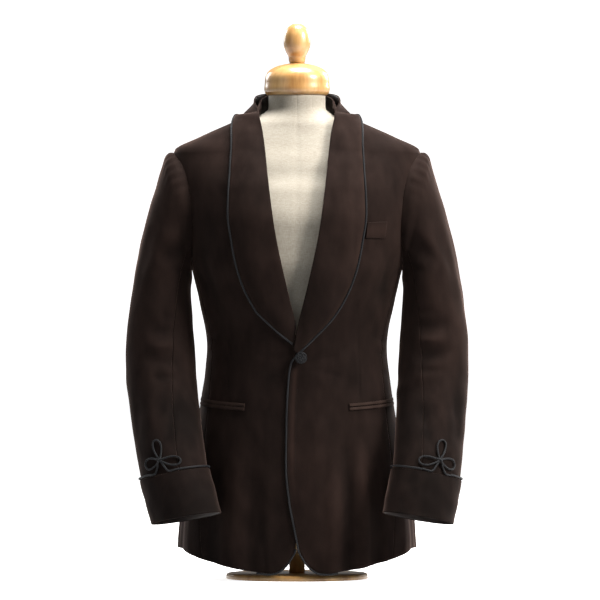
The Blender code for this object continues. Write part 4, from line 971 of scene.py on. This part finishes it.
def cuff_braid(side):
    """Cord along the cuff's upper edge, tied into a knot of three loops on its front."""
    radius = 0.9 * BRAID_RADIUS
    height = CLOTH + 1.5 * LAY + radius

    def on_sleeve(ring, step, over=0.0):
        return sleeve_skin(ring, np.array([step]), height + over)[0][0]

    edge_ring = CUFF_TOP - CUFF_CORD_OVER
    start = on_sleeve(edge_ring, KNOT_STEP)
    per_step = np.linalg.norm(on_sleeve(edge_ring, KNOT_STEP + 0.5) - start) / 0.5
    per_ring = np.linalg.norm(on_sleeve(edge_ring - 0.5, KNOT_STEP) - start) / 0.5

    def at(across, up, over=0.0):
        return on_sleeve(edge_ring - up / per_ring, KNOT_STEP + across / per_step, over)

    leg = KNOT_LEGS / per_step
    path = [on_sleeve(edge_ring, step) for step in np.linspace(CUFF_CORD_ENDS[0], KNOT_STEP + leg, 15)]
    path.append(at(0.55 * KNOT_LEGS, 0.45 * KNOT_RISE))
    for crossing, (direction, length, spread) in enumerate(KNOT_LOOPS):
        for t in np.linspace(0, 1, 19):
            turn = math.radians(direction + spread * math.cos(math.pi * t))
            reach = length * math.sin(math.pi * t)
            over = KNOT_OVER * (crossing + t) * math.exp(-(reach / KNOT_HUB) ** 2)
            if t < 1 or crossing == len(KNOT_LOOPS) - 1:
                path.append(at(reach * math.cos(turn), KNOT_RISE + reach * math.sin(turn), over))
    path.append(at(-0.55 * KNOT_LEGS, 0.45 * KNOT_RISE))
    path += [on_sleeve(edge_ring, step) for step in np.linspace(KNOT_STEP - leg, CUFF_CORD_ENDS[1], 9)]
    made = cord(f"cuff_braid_{WORDS[side]}_cord", sway(np.array(path), side), radius, side, spacing=0.0008)
    return dress(made, "braid", f"cuff_braid_{WORDS[side]}")


def strip(node, side, angles, foot, width, rows=6, look=None, tone_shift=0.0):
    """A narrow piece of cloth on a panel, crowned between its edges."""
    share = np.linspace(0, 1, rows)[:, None]
    heights = foot + width * share
    angles = angles + 0 * share
    crown = np.sin(math.pi * share)
    bed = CLOTH + LAY + front_lift(on_body(angles, heights)[..., 0], side)
    outer = on_body(angles, heights, bed + TRIM + STRIP_CROWN * crown)
    # painted highlight along the crowned middle, plus a painted shift of the whole strip's tone
    return cloth(node, outer, grid_normals(outer, outward(outer)), TRIM, side, look or TRIM_VELVET,
                 lined=False, painted_light=STRIP_HIGHLIGHT * crown + tone_shift + 0 * heights)


def pockets():
    """Breast welt and hip jets. Gives the pieces on the left front and on the right one."""
    pieces = {1: [], -1: []}
    x_from, x_to, foot, width = BREAST_WELT
    x = np.linspace(x_from, x_to, 34)
    slant = WELT_SLANT * np.linspace(-1, 1, len(x))
    # a little painted shade over the whole breast welt
    pieces[1].append(strip("breast_welt", 1, angle_at_x(x, foot + width / 2), foot + 0 * x, width + slant,
                           rows=24, look=VELVET, tone_shift=-0.02))
    angles = np.linspace(float(angle_at_x(HIP_POCKET_X, HIP_POCKET_Z[0])), HIP_POCKET_END, 96)
    for side, word in WORDS.items():
        for jet, rise in (("upper", JET_APART / 2), ("lower", -JET_APART / 2)):
            low = np.linspace(*HIP_POCKET_Z, 96) + rise - JET_WIDTH / 2
            pieces[side].append(strip(f"hip_jet_{jet}_{word}", side, angles, low, JET_WIDTH))
    return pieces


BUTTON_STEM = 0.0052
BUTTON_CORD = 0.00105     # radius of the knot's cord, and of the one round the rim
BUTTON_RIM_CORD = 0.00095
BUTTON_RIM = 0.92         # where that one lies: share of the button's radius, height over the stem
BUTTON_RIM_RISE = 0.0012
BUTTON_PLACE = (0.007, -0.12, 0.3895)
BUTTON_DOME = (  # share of the radius, height over the stem
    (0.8, 0.0002), (0.9, 0.001), (0.86, 0.002), (0.66, 0.0033), (0.35, 0.004), (0.04, 0.0042),
)
STITCH_LOW = 0.185        # prick stitches beside the left front's edge
STITCH_HIGH = 0.335
STITCH_STEP = 0.0024
STITCH_IN = 0.0150        # how far in from the edge
STITCH_LONG = 0.0013
STITCH_THICK = 0.0002


def button():
    """Covered button: a dome under a knot of cord."""
    place = lift(np.array([BUTTON_PLACE]), np.array([OVERLAP_LIFT + CLOTH + LAY]))
    axis = outward(place)[0]
    profile = [(0.0020, 0.0), (0.0022, BUTTON_STEM)]
    profile += [(BUTTON_RADIUS * share, BUTTON_STEM + height) for share, height in BUTTON_DOME]
    pieces = [turned("button_dome", profile, BRAID, 48, place[0], axis)]
    across = unit(np.cross(axis, UP))
    up = np.cross(axis, across)
    lobes, turns, count = 5, 3, 240
    path = []
    for t in np.linspace(0, 2 * math.pi * turns, count + 1)[:-1]:
        reach = BUTTON_RADIUS * (0.52 + 0.33 * math.cos(lobes * t / turns))
        rise = BUTTON_STEM + 0.0044 - 0.0022 * (reach / BUTTON_RADIUS) ** 2
        rise += 0.0003 * math.sin(2 * lobes * t / turns)
        path.append(place[0] + reach * (math.cos(t) * across + math.sin(t) * up) + rise * axis)
    pieces.append(cord("button_knot", path, BUTTON_CORD, spacing=0.0006, joined=True))
    t = np.linspace(0, 2 * math.pi, 49)[:-1, None]
    spokes = np.cos(t) * across + np.sin(t) * up
    rim = place + BUTTON_RIM * BUTTON_RADIUS * spokes + (BUTTON_STEM + BUTTON_RIM_RISE) * axis
    pieces.append(cord("button_rim", rim, BUTTON_RIM_CORD, spacing=0.0006, joined=True))
    return [dress(piece, "braid", "button") for piece in pieces]


def stitches():
    """Row of small prick stitches beside the left front's edge."""
    heights = np.arange(STITCH_LOW, STITCH_HIGH, STITCH_STEP)
    angles = angle_at_x(EDGE_X(heights) + STITCH_IN, heights)
    bed = front_lift(on_body(angles, heights)[:, 0], 1) + body_folds(angles, heights, 1) + CLOTH
    centres = on_body(angles, heights, bed)
    points, faces = [], []
    for centre, normal in zip(centres, outward(centres)):
        across = unit(np.cross(normal, UP))
        start = len(points)
        for share in (-1, 1):
            for turn in np.radians(np.arange(0, 360, 90)):
                spoke = math.cos(turn) * across + math.sin(turn) * normal
                points.append(centre + share * 0.25 * STITCH_LONG * UP + STITCH_THICK * spoke)
        points += [centre - 0.5 * STITCH_LONG * UP, centre + 0.5 * STITCH_LONG * UP]
        for c in range(4):
            d = (c + 1) % 4
            faces += [(start + c, start + d, start + 4 + d), (start + c, start + 4 + d, start + 4 + c)]
            faces += [(start + 8, start + d, start + c), (start + 9, start + 4 + c, start + 4 + d)]
    return dress(make_object("front_left_stitches", points, faces, BRAID), "braid")


def turned(name, profile, material, segments=72, centre=(0, 0, 0), axis=UP):
    """A solid of revolution from radius and height pairs along an axis."""
    side = np.array([1.0, 0.0, 0.0])
    side = unit(side - axis * np.dot(side, axis))
    turns = (np.arange(segments) / segments * 2 * math.pi)[:, None]
    spokes = np.cos(turns) * side + np.sin(turns) * np.cross(axis, side)
    points = np.concatenate([np.asarray(centre) + r * spokes + h * axis for r, h in profile])
    return make_object(name, points, grid_faces(len(profile), segments, around=True, ends=True), material)


# Dress form
FORM_ROWS = 150
FORM_COLUMNS = 240
FORM_BOTTOM = 0.100
FORM_BODY_TOP = 0.812     # the torso keeps its section above this height
FORM_GAP_SHOULDER = 0.0014
FORM_GAP_BODY = 0.011
FORM_CHEST = (0.70, 0.75) # heights over which the cloth's gap closes
FORM_RADIUS = 0.12        # turns an angle round the form into a length
FORM_ARM_X = 0.180
NECK_RADIUS = 0.050
NECK_TOP = 0.850
NECK_FROM = (0.800, 0.828)
BASE_RADIUS = 0.125
BASE_HEIGHT = 0.010
BASE_EDGE = (  # how far inside the radius, share of the height
    (0.001, 0), (0, 0.1), (0, 0.6), (0.0012, 0.85), (0.004, 1),
)
POLE_RADIUS = 0.014
NECK_CAP = (  # radius, height
    (0.052, 0.8503), (0.056, 0.854), (0.057, 0.872), (0.056, 0.883), (0.05, 0.893), (0.037, 0.901),
    (0.022, 0.905), (0.014, 0.9065),
)
FINIAL = (  # radius, height
    (0.013, 0.9068), (0.015, 0.912), (0.015, 0.917), (0.019, 0.925), (0.0233, 0.937), (0.0236, 0.948),
    (0.0215, 0.96), (0.016, 0.97), (0.008, 0.9755),
)
FORM_SEAMS = (0, 31, -31, 90, -90, 149, -149, 180)   # degrees round the form
FORM_SEAM_WIDTH = 0.0013
FORM_SEAM_DEPTH = 0.0006


def form_torso():
    """Cloth-covered torso with sewn panels, a neck and flat arm plates."""
    count = FORM_COLUMNS
    angles = np.arange(count) / count * 2 * math.pi
    heights = np.linspace(FORM_BOTTOM, NECK_TOP, FORM_ROWS)
    rows = []
    for height in heights:
        body = min(height, FORM_BODY_TOP)
        gap = FORM_GAP_BODY + (FORM_GAP_SHOULDER - FORM_GAP_BODY) * fade(height, *FORM_CHEST)
        row = on_body(angles, np.full(count, body), np.full(count, -gap))
        row[:, 2] = row[:, 2] + height - body
        row[:, 0] = np.clip(row[:, 0], -FORM_ARM_X, FORM_ARM_X)
        neck = np.stack([NECK_RADIUS * np.sin(angles), -NECK_RADIUS * np.cos(angles),
                         np.full(count, height)], axis=-1)
        share = float(fade(height, *NECK_FROM))
        rows.append(row * (1 - share) + neck * share)
    grid = np.array(rows)
    out = unit(grid * FLAT)
    for seam in np.radians(FORM_SEAMS):
        gap = np.abs((angles - seam + math.pi) % (2 * math.pi) - math.pi) * FORM_RADIUS
        grid = grid - (FORM_SEAM_DEPTH * np.exp(-(gap / FORM_SEAM_WIDTH) ** 2))[None, :, None] * out
    faces = grid_faces(len(rows), count, around=True, ends=True)
    return dress(make_object("form_torso_cover", grid.reshape(-1, 3), faces, LINEN), "linen", "form_torso")


def rounded(profile, count):
    """More rows along a turned profile, on a smooth line through its points."""
    path = through([(r, h, 0.0) for r, h in profile], 0.0012)
    picks = np.linspace(0, len(path) - 1, count).round().astype(int)
    return [(float(path[i, 0]), float(path[i, 1])) for i in picks]


def form_wood():
    """Neck cap, knob, pole and base."""
    for node, profile, segments in (
        ("form_neck_cap", rounded(NECK_CAP, 30), 72),
        ("form_finial", rounded(FINIAL, 40), 72),
        ("form_pole", ((POLE_RADIUS, BASE_HEIGHT + SEAM), (POLE_RADIUS, FORM_BOTTOM - SEAM)), 48),
        ("form_base", [(BASE_RADIUS - less, BASE_HEIGHT * share) for less, share in BASE_EDGE], 96),
    ):
        dress(turned(f"{node}_wood", profile, WOOD, segments), "wood", node)


LIGHT_AIM = (0.0, 0.0, 0.45)
AMBIENT = 0.22            # brightness of the surrounding
BACKDROP_RADIUS = 25.0
FLOOR_GLOW = 0.84         # keeps the pale floor even out to the backdrop


def new_material(name, colour, roughness, **sockets):
    """A node material: gives it, its tree and its Principled shader, with the named sockets set."""
    made = bpy.data.materials.new(name)
    made.use_nodes = True
    shader = made.node_tree.nodes["Principled BSDF"]
    shader.inputs["Base Color"].default_value = (*colour, 1.0)
    shader.inputs["Roughness"].default_value = roughness
    for socket, value in sockets.items():
        shader.inputs[socket.replace("_", " ")].default_value = value
    return made, made.node_tree, shader


def noise(tree, scale, detail=3.0, stretch=(1, 1, 1)):
    """A noise value in the object's own metres."""
    coordinates = tree.nodes.new("ShaderNodeTexCoord")
    mapping = tree.nodes.new("ShaderNodeMapping")
    mapping.inputs["Scale"].default_value = stretch
    texture = tree.nodes.new("ShaderNodeTexNoise")
    texture.inputs["Scale"].default_value = scale
    texture.inputs["Detail"].default_value = detail
    tree.links.new(coordinates.outputs["Object"], mapping.inputs["Vector"])
    tree.links.new(mapping.outputs["Vector"], texture.inputs["Vector"])
    return texture.outputs["Fac"]


def painted_light_value(tree):
    """The value that make_object puts on a mesh's points, which paints light and shade into the colour."""
    painted_light = tree.nodes.new("ShaderNodeAttribute")
    painted_light.attribute_name = "painted_light"
    return painted_light.outputs["Fac"]


def paint(tree, shader, value, stops):
    """Colour of the shader by a value: stops are a place and a colour."""
    made = tree.nodes.new("ShaderNodeValToRGB")
    elements = made.color_ramp.elements
    while len(elements) < len(stops):
        elements.new(0.5)
    for element, (place, colour) in zip(elements, stops):
        element.position = place
        element.color = (*colour, 1.0)
    tree.links.new(value, made.inputs["Fac"])
    tree.links.new(made.outputs["Color"], shader.inputs["Base Color"])


def math_node(tree, kind, a, b):
    """A node that adds or multiplies two values, each a socket or a number."""
    made = tree.nodes.new("ShaderNodeMath")
    made.operation = kind
    for socket, value in zip(made.inputs, (a, b)):
        if isinstance(value, (int, float)):
            socket.default_value = value
        else:
            tree.links.new(value, socket)
    return made.outputs[0]


def weighted(tree, *parts):
    """Sum of values, each times its weight."""
    total = None
    for value, weight in parts:
        part = math_node(tree, "MULTIPLY", value, weight)
        total = part if total is None else math_node(tree, "ADD", total, part)
    return total


def bump(tree, shader, height, strength, distance, below=None):
    """Fine relief of the shader by a height, over another relief or none."""
    made = tree.nodes.new("ShaderNodeBump")
    made.inputs["Strength"].default_value = strength
    made.inputs["Distance"].default_value = distance
    tree.links.new(height, made.inputs["Height"])
    if below is not None:
        tree.links.new(below, made.inputs["Normal"])
    tree.links.new(made.outputs["Normal"], shader.inputs["Normal"])
    return made.outputs["Normal"]


def velvet(name, dark, bright, sheen_weight, sheen_tint):
    """Cotton velvet: a dark ground whose pile leans unevenly, with a sheen at its edges, and painted light
    and shade from the value on the mesh's points.
    """
    made, tree, shader = new_material(name, dark, 0.9, Sheen_Weight=sheen_weight, Sheen_Roughness=0.30,
                                      Sheen_Tint=(*sheen_tint, 1.0), Specular_IOR_Level=0.06)
    lean = noise(tree, 7.0, 3.0, (1.0, 1.0, 0.55))
    brushed = noise(tree, 42.0, 5.0, (1.2, 1.2, 0.5))
    tone_shift = noise(tree, 900.0, 2.0)
    # the value on the points paints light and shade of folds and parts into the colour
    mixed = weighted(tree, (lean, 0.55), (brushed, 0.30), (tone_shift, 0.16), (painted_light_value(tree), 0.55))
    middle = tuple((a * 0.6 + b * 0.4) for a, b in zip(dark, bright))
    paint(tree, shader, mixed, ((0.33, dark), (0.54, middle), (0.80, bright)))
    rough = math_node(tree, "ADD", math_node(tree, "MULTIPLY", brushed, -0.25), 0.98)
    tree.links.new(rough, shader.inputs["Roughness"])
    low = bump(tree, shader, brushed, 0.25, 0.0012)
    bump(tree, shader, tone_shift, 0.35, 0.0004, below=low)
    return made


def braid_material():
    """Matt black silk cord, with painted shade darkening the grooves between its strands."""
    made, tree, shader = new_material("braid_cord", (0.010, 0.011, 0.013), 0.6, Specular_IOR_Level=0.14,
                                      Sheen_Weight=0.04, Sheen_Roughness=0.4,
                                      Sheen_Tint=(0.55, 0.62, 0.70, 1.0))
    # painted shade in the grooves between strands, lighter on their crests
    paint(tree, shader, painted_light_value(tree), ((0.72, (0.0015, 0.0015, 0.0020)),
                                           (0.98, (0.0080, 0.0085, 0.0098))))
    bump(tree, shader, noise(tree, 1600.0, 2.0), 0.4, 0.0003)
    return made


def lining_material():
    """Dark satin lining with a fine weave."""
    made, tree, shader = new_material("lining_satin", (0.012, 0.008, 0.007), 0.42)
    weave = noise(tree, 1400.0, 2.0, (1.0, 1.0, 0.2))
    paint(tree, shader, weave, ((0.35, (0.009, 0.006, 0.005)), (0.7, (0.020, 0.013, 0.011))))
    bump(tree, shader, weave, 0.25, 0.0002)
    return made


def linen_material():
    """Cream linen cover of the form: threads both ways and a few slubs."""
    made, tree, shader = new_material("linen_cover", (0.50, 0.45, 0.37), 0.88, Sheen_Weight=0.15)
    weft = noise(tree, 620.0, 2.0, (0.25, 0.25, 2.2))
    warp = noise(tree, 620.0, 2.0, (2.2, 2.2, 0.2))
    slub = noise(tree, 26.0, 4.0, (1.0, 1.0, 2.5))
    threads = weighted(tree, (weft, 0.4), (warp, 0.4), (slub, 0.2))
    paint(tree, shader, threads, ((0.35, (0.28, 0.25, 0.20)), (0.52, (0.37, 0.34, 0.28)),
                                  (0.70, (0.45, 0.42, 0.36))))
    bump(tree, shader, threads, 0.45, 0.0005)
    return made


def wood_material():
    """Varnished beech: upright grain, short flecks and a gloss coat."""
    made, tree, shader = new_material("beech", (0.62, 0.32, 0.10), 0.34,
                                      Coat_Weight=0.35, Coat_Roughness=0.12)
    grain = noise(tree, 26.0, 6.0, (1.0, 3.2, 0.28))
    mixed = weighted(tree, (grain, 0.75), (noise(tree, 240.0, 3.0, (1.0, 1.0, 0.16)), 0.25))
    paint(tree, shader, mixed, ((0.32, (0.34, 0.160, 0.042)), (0.50, (0.50, 0.275, 0.090)),
                                (0.68, (0.60, 0.370, 0.145))))
    bump(tree, shader, mixed, 0.08, 0.0006)
    return made


def pale_material():
    """White paint of the floor, with a little light of its own."""
    made, tree, shader = new_material("floor_paint", (0.93, 0.93, 0.93), 0.95, Specular_IOR_Level=0.0,
                                      Emission_Color=WHITE, Emission_Strength=FLOOR_GLOW)
    paint(tree, shader, noise(tree, 0.7, 1.0), ((0.0, (0.92, 0.92, 0.92)), (1.0, (0.94, 0.94, 0.94))))
    return made


def backdrop_material():
    """Evenly lit white behind everything."""
    return new_material("backdrop_white", WHITE[:3], 1.0, Emission_Color=WHITE, Emission_Strength=1.0)[0]


VELVET = velvet("velvet_body", (0.0037, 0.0022, 0.0017), (0.0250, 0.0140, 0.0110), 0.30, (0.56, 0.37, 0.31))
# lighter copy of the body velvet: it paints the light that the collar's roll catches
COLLAR_VELVET = velvet("velvet_collar", (0.0052, 0.0031, 0.0025), (0.0290, 0.0165, 0.0130), 0.30,
                       (0.52, 0.37, 0.32))
TRIM_VELVET = velvet("velvet_trim", (0.009, 0.0056, 0.0044), (0.046, 0.029, 0.023), 0.35,
                     (0.56, 0.38, 0.31))
BRAID = braid_material()
LINING = lining_material()
LINEN = linen_material()
WOOD = wood_material()

# Where the photograph's middle falls, and what it takes in, at the jacket's front
PHOTO_PIXELS = 600
METRE_PER_PIXEL = 0.00175
PHOTO_X0 = 297.0          # column of x = 0
PHOTO_Y0 = 572.0          # row of the hem's lowest point
PHOTO_Z0 = 0.014          # its height
PHOTO_PLANE_Y = -0.06
CAMERA_AWAY = 10.0
SENSOR = 36.0
SIGHT = 60.0              # how far the camera sees, past the backdrop


def camera():
    """Level camera in front, framed as the photograph."""
    x = (PHOTO_PIXELS / 2 - PHOTO_X0) * METRE_PER_PIXEL
    z = PHOTO_Z0 + (PHOTO_Y0 - PHOTO_PIXELS / 2) * METRE_PER_PIXEL
    data = bpy.data.cameras.new("camera")
    data.sensor_fit = "HORIZONTAL"
    data.sensor_width = SENSOR
    data.lens = SENSOR * CAMERA_AWAY / (PHOTO_PIXELS * METRE_PER_PIXEL)
    data.clip_end = SIGHT
    made = bpy.data.objects.new("camera", data)
    made.location = (x, PHOTO_PLANE_Y - CAMERA_AWAY, z)
    made.rotation_euler = (math.pi / 2, 0.0, 0.0)
    bpy.context.scene.collection.objects.link(made)
    bpy.context.scene.camera = made


LIGHTS = (  # name, place, size, watts, colour
    ("key", (3.0, -1.5, 2.3), 1.5, 260.0, (1.0, 0.95, 0.91)),
    ("fill", (-2.8, -2.8, 1.4), 2.2, 10.0, (0.94, 0.97, 1.0)),
    ("top", (0.3, 0.0, 3.0), 1.6, 190.0, (1.0, 0.98, 0.96)),
    ("back_left", (-2.2, 2.4, 1.8), 1.5, 45.0, WHITE[:3]),
    ("back_right", (2.2, 2.4, 1.8), 1.5, 60.0, WHITE[:3]),
)


def lights():
    """Soft studio lights all round, and a pale surrounding."""
    for name, place, size, watts, colour in LIGHTS:
        data = bpy.data.lights.new(name, "AREA")
        data.shape = "DISK"
        data.size = size
        data.energy = watts
        data.color = colour
        made = bpy.data.objects.new(name, data)
        made.location = place
        aim = Vector(LIGHT_AIM) - made.location
        made.rotation_euler = aim.to_track_quat("-Z", "Y").to_euler()
        bpy.context.scene.collection.objects.link(made)
    world = bpy.data.worlds.new("studio")
    bpy.context.scene.world = world
    world.use_nodes = True
    surrounding = world.node_tree.nodes["Background"]
    surrounding.inputs["Color"].default_value = WHITE
    surrounding.inputs["Strength"].default_value = AMBIENT
    bpy.context.scene.view_settings.view_transform = "Standard"


def stage():
    """Large pale floor and a white backdrop all round, which gives the object no light."""
    reach = BACKDROP_RADIUS * 1.1
    corners = [(-reach, -reach, 0.0), (reach, -reach, 0.0), (reach, reach, 0.0), (-reach, reach, 0.0)]
    ground = make_object("floor", corners, [(0, 1, 2, 3)], pale_material())
    angles = np.radians(np.linspace(-30, 90, 13))
    profile = [(BACKDROP_RADIUS * math.cos(a), BACKDROP_RADIUS * math.sin(a)) for a in angles]
    dome = turned("backdrop", profile, backdrop_material())
    dome.visible_glossy = dome.visible_transmission = dome.visible_shadow = False
    dome.visible_diffuse = ground.visible_diffuse = False


camera()
pocket_pieces = pockets()
button_pieces = button() + [stitches()]
braids = {side: edge_braid(side) for side in WORDS}
cuff_braids = {side: cuff_braid(side) for side in WORDS}
for side in WORDS:
    body_panel("front", side)
    body_panel("side", side)
    body_panel("back", side)
    sleeve(side)
    cuff(side, cuff_braids[side])
    shawl(side, braids[side][0])
collar_stand()
form_torso()
form_wood()
lights()
stage()

bpy.context.view_layer.update()
